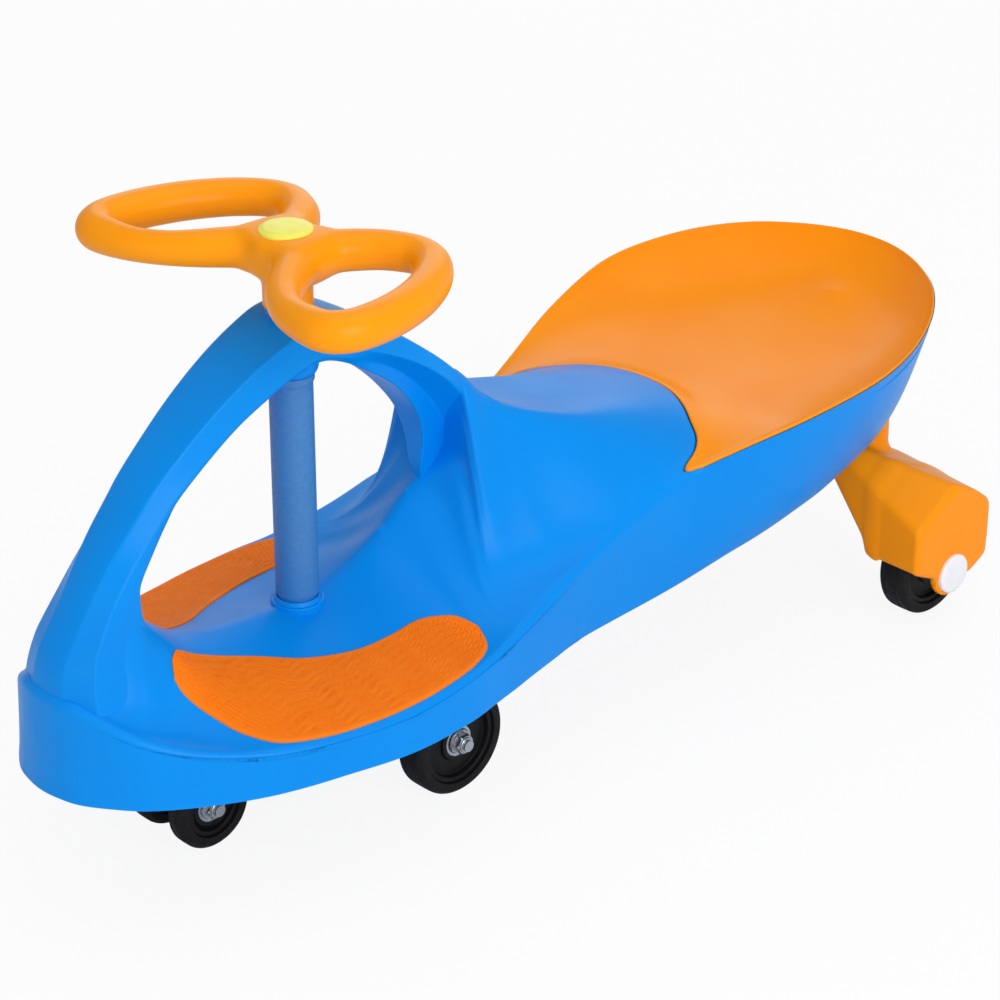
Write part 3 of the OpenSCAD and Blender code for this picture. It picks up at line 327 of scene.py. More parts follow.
# Stations from the nose round the left side to the tail, millimetres from the column: rim x, y, z; lower
# edge x, y, z; middle line x, z; and the shape of the top across: flat share, powers of fall, skirt and
# sweep.
HALF_HULL = np.array([
    (206, 0, 152, 210, 0, 84, 172, 205, 0.3, 1, 3, 2),
    (205, 14, 152, 208.5, 14, 84, 171, 205, 0.32, 1, 3, 2),
    (200, 29, 150, 203.5, 31, 84, 166, 206, 0.4, 1, 3, 2),
    (188, 49.5, 139.5, 190.5, 50.5, 84, 157, 206, 0.46, 1, 3, 2),
    (173.5, 65, 130.5, 176.5, 66, 84, 147, 201, 0.4, 1, 3, 2),
    (150, 82, 122, 152, 83.5, 84, 140, 187, 0.31, 1, 2.8, 2),
    (118, 99, 115.5, 119, 101, 84, 123, 170, 0.2, 1, 1.8, 2),
    (90, 109.5, 112.5, 90, 111, 84, 101, 155, 0.06, 0.95, 1.25, 2),
    (60, 116.5, 111, 60, 118, 84, 72, 147, 0, 0.92, 1.05, 2),
    (27, 122.5, 110.5, 27, 125, 84, 36, 143, 0, 0.92, 1.02, 2),
    (-3, 124.5, 112, -3, 127, 84, -1, 142, 0, 0.9, 1, 2),
    (-40, 122.5, 115.5, -40, 124, 84, -40, 151.5, 0, 0.9, 1.35, 1.8),
    (-66, 118.1, 118.2, -66, 118.4, 84, -72, 170.5, 0, 0.9, 1.85, 1.5),
    (-79, 115.4, 120.6, -79, 115.5, 84, -92, 187, 0, 1, 1.9, 1.25),
    (-90, 113.2, 122.8, -90, 113.1, 84, -109, 198, 0.04, 1, 1.9, 1.1),
    (-103, 110.8, 126, -103, 109.8, 84, -120, 205, 0.2, 1, 2.3, 1.05),
    (-119, 107.8, 130.3, -119, 106, 84, -125, 216, 0.28, 1, 2.7, 1.05),
    (-136, 105.1, 135.5, -136, 102.2, 84, -119, 250, 0.29, 1, 3.2, 1.05),
    (-151, 103, 140.5, -150, 98.9, 84.1, -115, 274, 0.3, 1, 3.3, 1.05),
    (-164, 101.2, 144.5, -161, 97, 84.3, -137, 253.5, 0.31, 1, 2.3, 1.1),
    (-178, 99.8, 148.3, -173, 95.3, 84.6, -162, 236.5, 0.37, 1.1, 2, 1.4),
    (-210, 98, 157.5, -205, 94, 85.5, -212, 219, 0.42, 1.5, 1.3, 2),
    (-240, 98, 167, -240, 93.5, 87, -272, 206.5, 0.25, 2.4, 1, 2),
    (-265, 101, 176, -270, 93, 89, -325, 196, 0.1, 3, 1, 2),
    (-300, 112, 185.5, -305, 93, 93, -345, 189, 0, 3.6, 1, 2),
    (-350, 129, 198.5, -350, 93, 99, -375, 185, 0, 4, 1, 2),
    (-400, 140, 210.5, -395, 90, 106, -410, 184, 0, 4, 1, 2),
    (-432, 141, 218, -430, 84, 111, -436, 185, 0, 4, 1, 2),
    (-465, 133, 224, -465, 77, 115.5, -462, 188, 0, 4, 1, 2),
    (-500, 116, 229.5, -495, 68, 119.5, -486, 192, 0, 4, 1, 2),
    (-532, 90, 233, -520, 56, 124, -505, 197, 0, 4, 1, 2),
    (-555, 58, 234.5, -538, 38, 129, -517, 201, 0, 4, 1, 2),
    (-568, 28, 235, -547, 19, 133.5, -523, 204, 0, 4, 1, 2),
    (-572, 0, 235, -550, 0, 135, -525, 205, 0, 4, 1, 2)])
# The seat starts at the station HORN, and TURN stations make one turn round the hull.
HORN = 23
TAIL = len(HALF_HULL) - 1
TURN = 2 * TAIL
OTHER_SIDE = np.array([1, -1, 1, 1, -1, 1, 1, 1, 1, 1, 1, 1.0])
HULL = np.concatenate([HALF_HULL[2:0:-1] * OTHER_SIDE, HALF_HULL, HALF_HULL[-2:0:-1] * OTHER_SIDE,
                       HALF_HULL[:3]])

# Fold between the hump and the deck: middle station, width in stations, and how far it swings forwards
FOLD, FOLD_WIDTH, FOLD_SWING = 16.5, 2.5, 18
# Thickness of the deck and the wall, and how far the rim's rounding reaches
DECK_SKIN, WALL_SKIN, RIM_ROUND = 6.0, 4.0, 6.0
# Below the seat: how much lower the hull lies under its border and under the rest, and how much tighter
# the rim is
LEDGE_DROP, BED_DROP, SEAT_TIGHT = 1.6, 3.2, 3.6
# Stations over which the hull steps down to the seat
STEP_DOWN = 0.05


def side_of(u):
    """Station on the left half that a place on the ring mirrors."""
    return np.minimum(u, TURN - u)


def hull_lines(u):
    """Columns of the hull's table on the smooth ring through all its stations, at the places u."""
    return np.moveaxis(through(HULL, np.asarray(u, float) + 2), -1, 0)


def hull_wall(u, q, inset=0.0):
    """Outer wall: in plan it goes from the lower edge to the rim with the share of height q to the power
    0.6, so it is upright at the top and tucked in below, and it rises evenly; the inset moves it in along
    the plan normal."""
    power, beside = 0.6, 0.02
    rx, ry, rz, ex, ey, ez = hull_lines(u)[:6]
    lean = q ** power
    x, y, z = ex + (rx - ex) * lean, ey + (ry - ey) * lean, ez + (rz - ez) * q
    ahead, behind = hull_lines((u + beside) % TURN), hull_lines((u - beside) % TURN)
    tx, ty = ahead[0] - behind[0], ahead[1] - behind[1]
    size = np.hypot(tx, ty)
    return np.stack([x - inset * ty / size, y + inset * tx / size, z], -1)


def hull_top(u, s):
    """Top: the ray from the middle line, share s = 0, to the rim, s = 1. Its height falls from the middle
    line as (1 - t^fall)^skirt, where t runs from 0 at the end of the flat share to 1 at the rim over a
    soft start, and in plan it goes along the car with the share to the power of its sweep. The rays of
    the fold swing forwards as s^3 (1 - s), which is most at three quarters of the way out and is scaled
    to one there."""
    rx, ry, rz, _, _, _, mx, mz, flat, fall, skirt, sweep = hull_lines(u)
    soft, swing_scale = 0.05, 9.48
    t = soft * np.logaddexp(0, (s - flat) / (1 - flat) / soft)
    share = np.maximum(1 - np.clip(t, 0, 1) ** fall, 0) ** skirt
    swing = FOLD_SWING * np.exp(-((side_of(u) - FOLD) / FOLD_WIDTH) ** 2) * swing_scale * s ** 3 * (1 - s)
    return np.stack([mx + (rx - mx) * s ** sweep + swing, ry * s, rz + (mz - rz) * share], -1)


def horn_bend(u, s):
    """Bends the stations near the horns, so that the line between the tongue and the seat swings back,
    most at a share of 0.78, and then hooks forwards in a round tip beside the rim, most at 0.955."""
    near = np.clip(1 - np.abs(side_of(u) - HORN) / 1.6, 0, 1) ** 2
    back, hook = np.exp(-((s - 0.78) / 0.1) ** 2), np.exp(-((s - 0.955) / 0.055) ** 2)
    move = near * (0.10 * back - 0.30 * hook)
    return u + np.where(u < TAIL, move, -move)


def horn_tip(s):
    """Share of a station by which the seat starts later towards the rim, so that its horn has a round
    tip."""
    return 0.32 * np.clip((s - 0.93) / 0.06, 0, 1) ** 3


def hull_form():
    """Closed skin of the hull: one profile, from the middle line below the deck out to the inner wall,
    down to the lower edge, up the outer wall, over the rounded rim and back to the middle line, at each
    place round the ring. The places lie closer at the strut's foot, the fold and the horns."""
    lip_drop, share_step, ledge_end, bed_end = 0.6, 0.002, 0.982, 0.978
    half = np.unique(np.concatenate([
        np.linspace(0, TAIL, TAIL * 6 + 1), np.linspace(HORN - 0.05, HORN + 0.4, 19),
        np.linspace(3, 7, 33), np.linspace(11.5, 19.5, 81)]))
    u = np.concatenate([half, TURN - half[-2:0:-1]])[:, None]
    side = side_of(u)
    rx, ry, rz, _, _, ez, mx, _ = hull_lines(u)[:8]

    def seated(s):
        return np.clip((side - HORN - horn_tip(s)) / STEP_DOWN, 0, 1)

    def top(s, drop):
        p = hull_top(horn_bend(u, s), s)
        p[..., 2] -= drop * seated(s)
        return p

    def below(s, drop):
        """Underside: as high as the top a little further out, less the drop, and set back behind the
        fold."""
        set_back, further = 8, 0.04
        p = hull_top(u, s)
        p[..., 2] = hull_top(u, s + further * (1 - s))[..., 2] - drop
        p[..., 0] -= set_back * np.clip(FOLD_WIDTH - np.abs(side - FOLD), 0, 1) * (1 - s)
        return p

    seat = seated(1.0)
    crest = RIM_ROUND - SEAT_TIGHT * seat
    edge = crest / np.hypot(2 * (rx - mx), ry)
    brow = crest / (rz - ez)
    shares = np.array([0, 0.04, 0.08, 0.12, 0.16, 0.2, 0.24, 0.27, 0.3, 0.33, 0.36, 0.4, 0.45, 0.5, 0.56,
                       0.62, 0.68, 0.74, 0.8, 0.86, 0.9, 0.93, 0.95, 0.964, 0.974])[None, :]
    under = below(shares[:, ::2], DECK_SKIN + BED_DROP * seat)
    inner = hull_wall(u, np.linspace(0.9, 0.04, 8)[None, :], WALL_SKIN)
    lip = hull_wall(u, np.array([[0.0]]), WALL_SKIN / 2)
    lip[..., 2] -= lip_drop
    outer = hull_wall(u, np.concatenate([[0.0, 0.02], np.linspace(0.06, 0.9, 10)])[None, :])
    t = np.linspace(0, 1, 7)[None, :, None]
    start, end = hull_wall(u, 1 - brow), top(1 - edge, LEDGE_DROP)
    bend = np.stack([rx, ry, rz - LEDGE_DROP * seat], -1)
    rim = (1 - t) ** 2 * start + 2 * t * (1 - t) * bend + t ** 2 * end
    ledge = top(np.minimum(1 - edge - share_step, ledge_end), LEDGE_DROP)
    step = top(np.minimum(1 - edge - 2 * share_step, bed_end), BED_DROP)
    tops = top(np.minimum(shares[:, ::-1], 1 - edge - 3 * share_step), BED_DROP)
    rows = np.concatenate([under, inner, lip, outer, rim, ledge, step, tops], axis=1)
    return woven(rows, True, False)


# Arch from the nose over the column to the hump: outer x, z; inner x, z; half widths of the face, the
# flange, the neck and the lip; depth shares of the flange and the neck.
ARCH = np.array([
    (202, 100, 150, 100, 16, 30, 32, 30, 0.15, 0.5),
    (202, 118, 148, 118, 17, 36, 38, 34, 0.17, 0.5),
    (202, 135, 141, 140, 16.5, 39, 41, 36, 0.18, 0.6),
    (201.5, 148, 137, 160, 15.5, 36.5, 35.5, 29, 0.18, 0.6),
    (200.3, 157, 138, 172, 14.5, 34, 32, 27, 0.18, 0.6),
    (198.3, 166, 141, 182, 13.8, 32, 30, 26, 0.2, 0.62),
    (193.5, 177, 144.5, 192, 13.3, 29.5, 28.5, 27, 0.22, 0.65),
    (179, 199, 145.5, 204, 13, 26.5, 27.5, 27, 0.28, 0.7),
    (167, 217, 143.5, 214, 14, 25.5, 26.5, 26, 0.4, 0.75),
    (153, 236, 132, 229.5, 15.5, 25, 25, 24, 0.53, 0.8),
    (137, 254, 118.5, 246.5, 16.8, 25, 24, 22, 0.66, 0.86),
    (121, 271, 104.5, 260.5, 18, 25, 23, 19.5, 0.74, 0.9),
    (86, 300, 67, 286, 21, 26, 23, 19, 0.75, 0.9),
    (54, 321, 39, 301, 23.5, 28, 25, 20, 0.75, 0.9),
    (25, 335, 15, 312, 25.5, 30.5, 28, 23, 0.75, 0.9),
    (0, 342, -4, 316, 27, 33, 31, 26, 0.7, 0.88),
    (-30, 338, -24, 309, 28, 34, 31, 26, 0.6, 0.86),
    (-62, 319, -46, 295, 29, 34.5, 24, 23, 0.45, 0.74),
    (-92, 297, -67, 280, 30, 34, 18, 19.5, 0.34, 0.68),
    (-117, 274.5, -84, 263, 29.5, 32, 13, 16.5, 0.28, 0.64),
    (-138, 249, -97.5, 243, 26, 26, 10, 13, 0.25, 0.6),
    (-155, 230, -103.5, 222, 22, 21, 7.5, 9.5, 0.3, 0.6),
    (-160, 210, -104, 203, 20, 17, 5, 6, 0.34, 0.62),
    (-156, 192, -108, 188, 18, 14, 3.5, 3, 0.4, 0.66),
    (-150, 176, -114, 174, 16, 12, 3, 2, 0.42, 0.68)])


def arch_form():
    """Closed sweep: half of its section is a slightly crowned face, a flange that widens, a neck that
    draws in and a lip, with rounded corners, mirrored to the other half and carried along the arch's two
    edge curves."""
    crown_height, corner_round, rows_between = 1.6, 1.5, 6
    row = through(ARCH, np.linspace(0, len(ARCH) - 1, rows_between * (len(ARCH) - 1) + 1))
    ox, oz, ix, iz, face, flange, neck, lip, flange_at, neck_at = row.T
    across = np.array([0.0, 0.3, 0.6, 0.85])
    crown = crown_height * (1 - across ** 2) / np.hypot(ox - ix, oz - iz)[:, None]
    depth = np.concatenate([-crown, np.stack([0 * ox, flange_at, neck_at, 1 + 0 * ox, 1 + 0 * ox], 1)], 1)
    width = np.concatenate([face[:, None] * across, np.stack([face, flange, neck, lip, 0 * lip], 1)], 1)
    x, z = ox[:, None] + (ix - ox)[:, None] * depth, oz[:, None] + (iz - oz)[:, None] * depth
    left = rounded(np.stack([x, width, z], -1), corner_round)
    right = left[:, -2:0:-1] * np.array([1, -1, 1])
    grid = np.concatenate([left, right], 1)
    ends = [np.broadcast_to(g.mean(0), g.shape)[None] for g in (grid[0], grid[-1])]
    return woven(np.concatenate([ends[0], grid, ends[1]]), False, True)


boss_low = turned(ring_profile(11.1, 18, 113.3, 141.5), ORIGIN, "z")
boss_top = turned(rounded([(11.1, 303), (16.5, 303), (18, 306), (20, 322), (20, 336), (11.1, 343.5)],
                          1.5, 4, True), ORIGIN, "z")
foot_ring = turned(rounded([(12.8, 128), (17, 128), (16.6, 138), (15.6, 142), (14.8, 143.8), (13.8, 144.4),
                            (12.8, 142.4)], 1.0, 4, True), ORIGIN, "z")
# Distance of the rear arms' posts from the middle
POST_Y = 73
sockets = [turned(ring_profile(13.1, 17, 152, 182), (REAR[0] - COLUMN_X, k * POST_Y, 0), "z", 48)
           for k, _ in SIDES]
body_forms = (hull_form(), arch_form(), boss_low, boss_top, foot_ring, *sockets)
piece("body_and_arch", [shifted(f) for f in body_forms], "base", BLUE, ["body_shell"], 50)


def seat_form():
    """Seat liner: the hull's own top from the horns round the tail, 2.8 mm thick about a level 1.2 mm
    lower, its border swelling by 0.9 mm and rolled down over the rim, where the two faces meet."""
    sink, half_thick, swell = 1.2, 1.4, 0.9
    first, end_run, last, border_run = 0.06, 0.07, 0.991, 0.010
    close = [0.93, 0.95, 0.962, 0.97, 0.974, 0.978, 0.982, 0.986, 0.989, 0.9905, last]
    s = np.concatenate([np.linspace(0, 0.9, 28), close])[None, :]
    late = np.concatenate([[first, 0.07, 0.09, 0.13, 0.2, 0.35], np.linspace(0.5, TAIL - HORN, 64)])
    late = late[:, None]
    u = HORN + late + horn_tip(s) * (1 - late / (TAIL - HORN))
    u = np.concatenate([u, TURN - u[-2::-1]])
    ends = np.clip((np.concatenate([late, late[-2::-1]]) - first) / end_run, 0, 1)
    border = np.clip((last - s) / border_run, 0, 1)
    thick = np.sqrt(1 - (1 - ends) ** 2) * np.sqrt(1 - (1 - border) ** 2)
    top = hull_top(horn_bend(u, s), s)
    low = top[:, ::-1].copy()
    top[..., 2] += -sink + thick * (half_thick + swell * np.clip((s - 0.95) / 0.03, 0, 1))
    low[..., 2] -= sink + (thick * half_thick * np.clip((0.977 - s) / 0.003, 0, 1))[:, ::-1]
    return woven(np.concatenate([top, low[:, 1:]], 1))


piece("seat_liner", [shifted(seat_form())], "base", ORANGE, ["seat"])


def deck_height(x, y):
    """Height of the deck over plan points left of the middle: the station whose ray passes over the point
    is found by halving the range of stations thirty times."""
    low, high = np.zeros_like(x), np.full_like(x, HORN)
    for _ in range(30):
        mid = (low + high) / 2
        before = hull_top(mid, y / hull_lines(mid)[1])[..., 0] > x
        low, high = np.where(before, mid, low), np.where(before, high, mid)
    return hull_top(low, y / hull_lines(low)[1])[..., 2]


# Borders of the left foot pad in plan, millimetres from the column, from its rear end to its front end
PAD_INNER = [(-78, 87), (-73, 71), (-60, 63), (-46, 60.5), (-24.5, 61.3), (2.2, 59.4), (35, 48.6), (66.5, 31),
             (98.2, 22), (118, 25.5), (130, 33.5)]
PAD_OUTER = [(-77.5, 91), (-71, 105), (-55.2, 113.5), (-30.4, 118), (8.2, 119), (59.6, 112.8), (96, 101),
             (113.2, 83), (123, 65), (132, 48), (134, 40.5)]


def pad_form(side):
    """Foot pad: the strip between two smooth border curves, laid on the deck. It starts 0.5 mm below the
    deck and stands 1.6 mm proud, with a border rounded over 2.5 mm. A wavy grain of bent ridges 3.4 mm
    apart goes 0.4 mm up and down on it, from 3 mm inside the border."""
    sink, rise, border, ridge, ridge_pitch = 0.5, 2.1, 2.5, 0.4, 3.4
    wave, wave_pitch, length_rear, length_front = 2.2, 6.1, 240, 170
    p = np.linspace(0, 1, 241)[:, None]
    w = np.linspace(0, 1, 91)[None, :]
    last = len(PAD_INNER) - 1
    inner, outer = through(PAD_INNER, last * p), through(PAD_OUTER, last * p)
    plan = inner + (outer - inner) * w[..., None]
    x, y = plan[..., 0], plan[..., 1]
    span = np.linalg.norm(outer - inner, axis=-1)
    gap = np.minimum(np.minimum(w, 1 - w) * span, np.minimum(p * length_rear, (1 - p) * length_front))
    edge = np.sqrt(1 - (1 - np.clip(gap / border, 0, 1)) ** 2)
    bent = x + wave * np.sin(2 * np.pi * (y + 1.5 * np.sin(x / 5)) / wave_pitch) + 0.5 * y
    grain = np.sin(2 * np.pi * bent / ridge_pitch) * np.clip((gap - 3) / 2, 0, 1)
    deck = deck_height(x, y)
    top = np.stack([x, side * y, deck - sink + rise * edge + ridge * grain], -1)
    low = np.stack([x, side * y, deck - sink], -1)
    a, b = woven(top), woven(low)
    return np.concatenate([a[0], b[0]]), np.concatenate([a[1], b[1][:, ::-1] + len(a[0])])


piece("foot_pad_l", [shifted(pad_form(1))], "base", PAD, ["foot_pad_left"])
piece("foot_pad_r", [shifted(pad_form(-1))], "base", PAD, ["foot_pad_right"])


# Steering column and wheel

sleeve_line = rounded([(9.0, 142), (12.4, 142), (14.25, 147), (14.25, 296), (15.4, 298), (15.4, 302.5),
                       (9.0, 302.5)], 1.2, 5, True)
piece("sleeve", [turned(sleeve_line, (COLUMN_X, 0, 0), "z")], "base", SLATE,
      ["column_sleeve"], 60)

# Left loop, millimetres from the column: middle line x, y in plan and the tube's radius
LOOP_POINTS = np.array([
    (64.5, 99, 12.2), (62, 111.8, 12.8), (51, 119.5, 13), (34, 120.8, 13.1), (12, 117.5, 13),
    (-12, 109, 12.8), (-34, 95.5, 12.5), (-49.5, 79, 12.2), (-54.5, 63.5, 12.2), (-51, 50, 12.4),
    (-41, 35, 12.8), (-20, 20, 13.5), (5, 20.5, 13.5), (30, 37, 12.3), (49.5, 55.5, 11), (61, 76, 10.9)])
LOOP = through(np.concatenate([LOOP_POINTS[-1:], LOOP_POINTS, LOOP_POINTS[:2]]),
               np.linspace(1, len(LOOP_POINTS) + 1, 401))
# Heights of the loops' middle line and of the level cut on top, and radii of the hub and its neck
LOOP_Z, LOOP_CUT, HUB_R, NECK_R = 383.5, 398.4, 23.5, 16


def wheel_field(x, y, z):
    """Two round tubes along the loops, a low round hub and its neck, with the creases between them
    filled, and the top cut level."""
    flat = np.stack([x.ravel(), np.abs(y.ravel())], -1).astype(np.float32)
    axis = LOOP.astype(np.float32)
    near, radius = [], []
    for c in np.array_split(flat, max(1, len(flat) // 20000)):
        gap = np.hypot(c[:, None, 0] - axis[:, 0], c[:, None, 1] - axis[:, 1])
        first = (gap - axis[:, 2]).argmin(1)
        near.append(gap[np.arange(len(c)), first])
        radius.append(axis[first, 2])
    near, radius = np.concatenate(near).reshape(x.shape), np.concatenate(radius).reshape(x.shape)
    tube = np.hypot(near, z - LOOP_Z) - radius
    r = np.hypot(x, y)
    hub = smax(r - HUB_R, np.abs(z - 384) - 14, 8.0)
    neck = smax(r - NECK_R, slab(z, 347.4, 383), 2.0)
    return smax(smin(smin(tube, hub, 12.0), neck, 8.0), z - LOOP_CUT, 3.0)


loops = level_skin(wheel_field, (-76, -142, 343), (86, 142, 403), 2.0)
# The loops take the yellower orange, a painted highlight for the light on their crests.
piece("steering_loops", [shifted(loops)], "steering", ORANGE_PAINTED_HIGHLIGHT, ["steering_wheel"])
cap_line = rounded([(0, 395), (17.4, 395), (17.4, 399.2), (14, 400.8), (7, 401.6), (0, 401.8)], 0.9)
piece("hub_button", [turned(cap_line, (COLUMN_X, 0, 0), "z", 64)], "steering", YELLOW,
      ["hub_cap"])


# Rear arms

# Sides of the rear hood's outline at its outer wall, x from the axle and z: two points of each side, and
# how much higher it lies for each millimetre inwards
HOOD = [((42, 50), (42, 84), 0), ((42, 84), (1, 110), 0.49), ((1, 110), (-18, 102), 0.06),
        ((-18, 102), (-41, 84), 0.1), ((-41, 84), (-41, 40), 0)]
# Outer wall of the hood, the inner and outer wall of the wheel's well, half its length and its top
HOOD_Y, WELL_IN, WELL_OUT, WELL_HALF, WELL_TOP = 156, 111.5, 150, 38.5, 80.5
# Radii of the upright post and of the ears round the axle
POST_R, EAR_R = 13, 18


def arm_field(x, y, z):
    """Hood over the rear wheel: the sides of its outline, its two ends and the wheel's well with rounded
    edges, an outer cheek that reaches lower, a neck of the same outline cut off below, two ears round the
    axle and an upright round post, blended together."""
    sides = None
    for a, b, rise in HOOD:
        d = half_plane(a, b, x, z + rise * (y - HOOD_Y))
        sides = d if sides is None else smax(sides, d, 4.0)
    block = smax(smax(sides, 50 - z, 4.0), slab(y, 105.5, HOOD_Y), 5.0)
    skirt = np.maximum(half_plane((7, 33), (42, 50), x, z), half_plane((-41, 40), (-22, 30), x, z))
    cheek = smax(smax(smax(sides, skirt, 4.0), 30 - z, 3.0), slab(y, 149.5, HOOD_Y), 5.0)
    below = half_plane((66, 108), (111.5, 50), y, z)
    neck = smax(smax(sides, slab(y, 66, 118), 6.0), below, 6.0)
    post = smax(np.hypot(x, y - POST_Y) - POST_R, slab(z, 102, 176), 2.0)
    ears = np.hypot(x, z - REAR[2]) - EAR_R
    ears = np.minimum(ears, np.maximum(np.abs(x) - EAR_R, slab(z, REAR[2], 56)))
    between = slab(y, WELL_IN, WELL_OUT)
    well = np.maximum(np.maximum(np.abs(x) - WELL_HALF, between), z - WELL_TOP)
    shell = smax(smin(smin(block, cheek, 1.0), neck, 4.0), -well, 1.5)
    lugs = smax(ears, np.maximum(slab(y, 106, 155.5), -between), 1.5)
    return smin(smin(shell, post, 9.0), lugs, 2.0)


arm = level_skin(arm_field, (-46, 58, 17), (46, 160, 180), 2.0)
for k, side in SIDES:
    points = arm[0] * np.array([1, k, 1]) + np.array([REAR[0], 0, 0])
    piece("rear_hood_" + side, [(points, arm[1])], "base", ORANGE, ["rear_arm_" + side], 55)
button = rounded([(0, -1), (15, -1), (15, 2.3), (13.4, 3.3), (8, 3.7), (0, 3.8)], 0.8)
for k, side in SIDES:
    form = turned(button, (REAR[0], k * HOOD_Y, REAR[2]), "y", 64, k)
    piece("axle_button_" + side, [form], "base", WHITE, ["axle_cap_" + side])


# Wheels

# Thickness of the tread, and the gap between it and the core
TYRE_DEPTH, CORE_GAP = 8.5, 0.05


def tyre_line(r, w):
    """Profile of a tyre: square shoulders cut back by 3 mm, a tread with two shallow grooves and flat
    side faces with a fine step."""
    h, g = w / 2, w / 5
    half = [(r - TYRE_DEPTH, -h + 0.6), (r - 7.5, -h), (r - 3.2, -h), (r - 0.3, -h + 3), (r, -g - 1.0),
            (r - 0.5, -g - 0.5), (r - 0.5, -g + 0.5), (r, -g + 1.0)]
    return rounded(mirrored(half), 1.0, 4, True)


def core_line(r, w, hub):
    """Profile of a wheel core: a rim, a thin coned web and a hub with a bore for the bearings."""
    rim, web = w / 2 - 2.2, 0.3 * hub
    half = [(11.05, -hub / 2), (14, -hub / 2), (14.6, -web - 0.8), (r - 4.6, -web), (r - 3.4, -rim),
            (r, -rim)]
    return rounded(mirrored(half), 0.7, 4, True)


def bearing_line(y):
    """Profile of a shielded ball bearing 22 mm across: outer ring, sunk shield with a bead, inner
    ring."""
    half = [(4.05, -3.5), (6.1, -3.5), (6.4, -3.0), (7.4, -2.8), (8.6, -2.9), (9.2, -3.5), (11, -3.5)]
    return rounded(mirrored(half), 0.35, 3, True) + np.array([0, y])


def wheel(name, centre, r, w, hub, bearings, body_name, nodes):
    """Tyre, core and bearings of one wheel, each its own piece."""
    tyre, core = tyre_line(r, w), core_line(r - TYRE_DEPTH - CORE_GAP, w, hub)
    races = [turned(bearing_line(y), centre, "y", 64) for y in bearings]
    piece(name + "_tread", [turned(tyre, centre, "y", 96)], body_name, TYRE, [nodes[0]], 40)
    piece(name + "_disc", [turned(core, centre, "y", 80)], body_name, CORE, [nodes[1]], 40)
    piece(name + "_races", races, body_name, ZINC, [nodes[2]], 40)


# Kinds of wheel: centre, name, radius, width, hub width, places of the bearings and the name of their node
WHEELS = ((MAIN, "main", 38.5, 23, 17, (-5, 5), "bearings"), (SAFETY, "safety", 29, 16, 7, (0,), "bearing"),
          (REAR, "rear", 38.5, 23, 17, (-5, 5), "bearings"))
for k, side in SIDES:
    for place, kind, r, w, hub, offsets, races in WHEELS:
        names = [f"{kind}_{p}_{side}" for p in ("tyre", "core", races)]
        centre = (place[0], k * place[1], place[2])
        wheel(f"{kind}_{side}", centre, r, w, hub, offsets, f"{kind}_wheel_{side}", names)


def nut_form(centre, side):
    """Locking nut M8: a hexagon 12.5 mm across flats whose corners are turned off at both ends, with a
    round collar on its outer face and a bore."""
    half_flats, collar = 6.24, 5.7
    a = np.linspace(0, 2 * np.pi, 96, endpoint=False)[:, None]
    hexagon = half_flats / np.cos((a % (np.pi / 3)) - np.pi / 6)
    level = np.array([0, 0, 0.6, 4.4, 5.2, 5.2, 6.1, 6.4, 6.4, 0])[None, :]
    reach = np.array([4.1, 6.3, 9, 9, 6.3, 5.6, 5.4, 5.0, 4.1, 4.1])[None, :]
    r = np.where(reach > collar, np.minimum(hexagon, reach), reach)
    x, y, z = centre[0] + r * np.cos(a), centre[1] + side * level + 0 * a, centre[2] + r * np.sin(a)
    return woven(np.stack([x, y, z], -1), True, True)


# Pairs of locking nuts: name, axle, distance of the nut's inner face from the middle, body and node
for name, place, start, body_name, cad_name in (
        ("main_lock_nuts", MAIN, 81.8, "steering", "main_nuts"),
        ("safety_lock_nuts", SAFETY, 24.3, "steering", "safety_nuts"),
        ("rear_lock_nuts", REAR, 99.1, "base", "rear_nuts")):
    pair = [nut_form((place[0], k * start, place[2]), k) for k, _ in SIDES]
    piece(name, pair, body_name, ZINC, [cad_name], 35)


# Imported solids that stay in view

# All but three are zinc plated. The upper bush, whose flange shows beside the wheel's neck, has the
# body's blue.
STAYS = {"upper_bush": BLUE, "lower_bush": WHITE, "front_bracket": POWDER}
for name in ("thrust_washer", "steering_shaft", "hub_screw", "hub_washer", "main_axle", "main_spacers",
             "main_washers", "safety_axle", "safety_spacers", "rear_axles", "rear_spacers"):
    STAYS[name] = ZINC
for name, material in STAYS.items():
    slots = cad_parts[name].data.materials
    slots.clear()
    slots.append(material)


# Stage, in metres

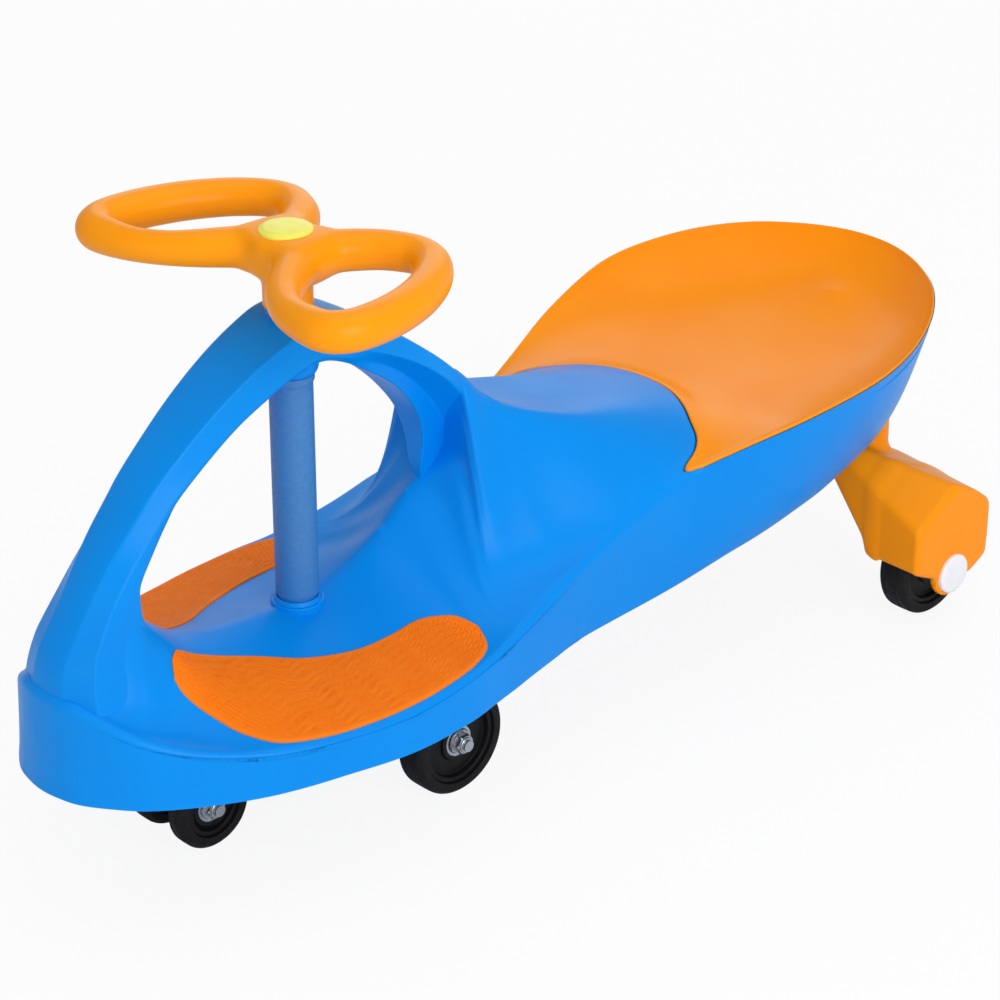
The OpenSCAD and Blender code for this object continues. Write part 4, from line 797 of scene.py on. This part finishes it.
def floor_piece():
    """Wide level floor just below the wheels, white to the eye, that keeps the soft shadow."""
    half, depth, glow_share = 6, 0.0002, 0.9
    g = np.linspace(-half, half, 25)
    x, y = np.meshgrid(g, g, indexing="ij")
    points, quads = woven(np.stack([x, y, 0 * x - depth], -1))
    mesh = bpy.data.meshes.new("floor")
    mesh.from_pydata(points.tolist(), [], quads.tolist())
    m = bpy.data.materials.new("white_paper_floor")
    m.use_nodes = True
    t = m.node_tree
    t.nodes.clear()
    path = node(t, "ShaderNodeLightPath")
    share = node(t, "ShaderNodeMath", {0: path.outputs["Is Camera Ray"], 1: glow_share},
                 operation="MULTIPLY")
    paper = node(t, "ShaderNodeBsdfDiffuse", {"Color": linear("#F4F4F4")})
    glow = node(t, "ShaderNodeEmission", {"Color": (1, 1, 1, 1), "Strength": 1.0})
    mix = node(t, "ShaderNodeMixShader", {0: share.outputs[0], 1: paper.outputs[0], 2: glow.outputs[0]})
    node(t, "ShaderNodeOutputMaterial", {"Surface": mix.outputs[0]})
    mesh.materials.append(m)
    thing = bpy.data.objects.new("floor", mesh)
    bpy.context.scene.collection.objects.link(thing)


floor_piece()


def turn_to(aim, place):
    """Rotation that makes a lamp or a camera at a place look at a point."""
    return (Vector(aim) - Vector(place)).to_track_quat("-Z", "Y").to_euler()


# Square soft lamps: name, place, height of the point on the middle axis that it looks at, size and power
for name, place, height, size, power in (("key", (0.7, 2.5, 1.3), 0.15, 1.6, 36),
                                         ("front", (2.6, 0.6, 0.9), 0.15, 1.6, 6.5),
                                         ("top", (-0.4, 0.2, 2.6), 0.15, 2.2, 14),
                                         ("back", (-2.2, -2.2, 1.5), 0.2, 2.2, 16)):
    light = bpy.data.lights.new(name, "AREA")
    light.energy, light.size = power, size
    lamp = bpy.data.objects.new(name, light)
    lamp.location = place
    lamp.rotation_euler = turn_to((0, 0, height), place)
    bpy.context.scene.collection.objects.link(lamp)

# White backdrop to the eye, half as bright to everything else
world = bpy.data.worlds.new("studio")
bpy.context.scene.world = world
world.use_nodes = True
sky = world.node_tree
sky.nodes.clear()
ray = node(sky, "ShaderNodeLightPath")
level = node(sky, "ShaderNodeMapRange", {"Value": ray.outputs["Is Camera Ray"], "To Min": 0.5,
                                         "To Max": 1.0})
backdrop = node(sky, "ShaderNodeBackground", {"Color": (1, 1, 1, 1), "Strength": level.outputs["Result"]})
node(sky, "ShaderNodeOutputWorld", {"Surface": backdrop.outputs[0]})

lens = bpy.data.cameras.new("camera")
lens.lens, lens.sensor_width = 113.8, 36.0
camera = bpy.data.objects.new("camera", lens)
camera.location = (1.339, 1.399, 1.123)
camera.rotation_euler = turn_to((0.019, 0.0214, 0.1632), camera.location)
bpy.context.scene.collection.objects.link(camera)
bpy.context.scene.camera = camera
bpy.context.scene.view_settings.view_transform = "Standard"
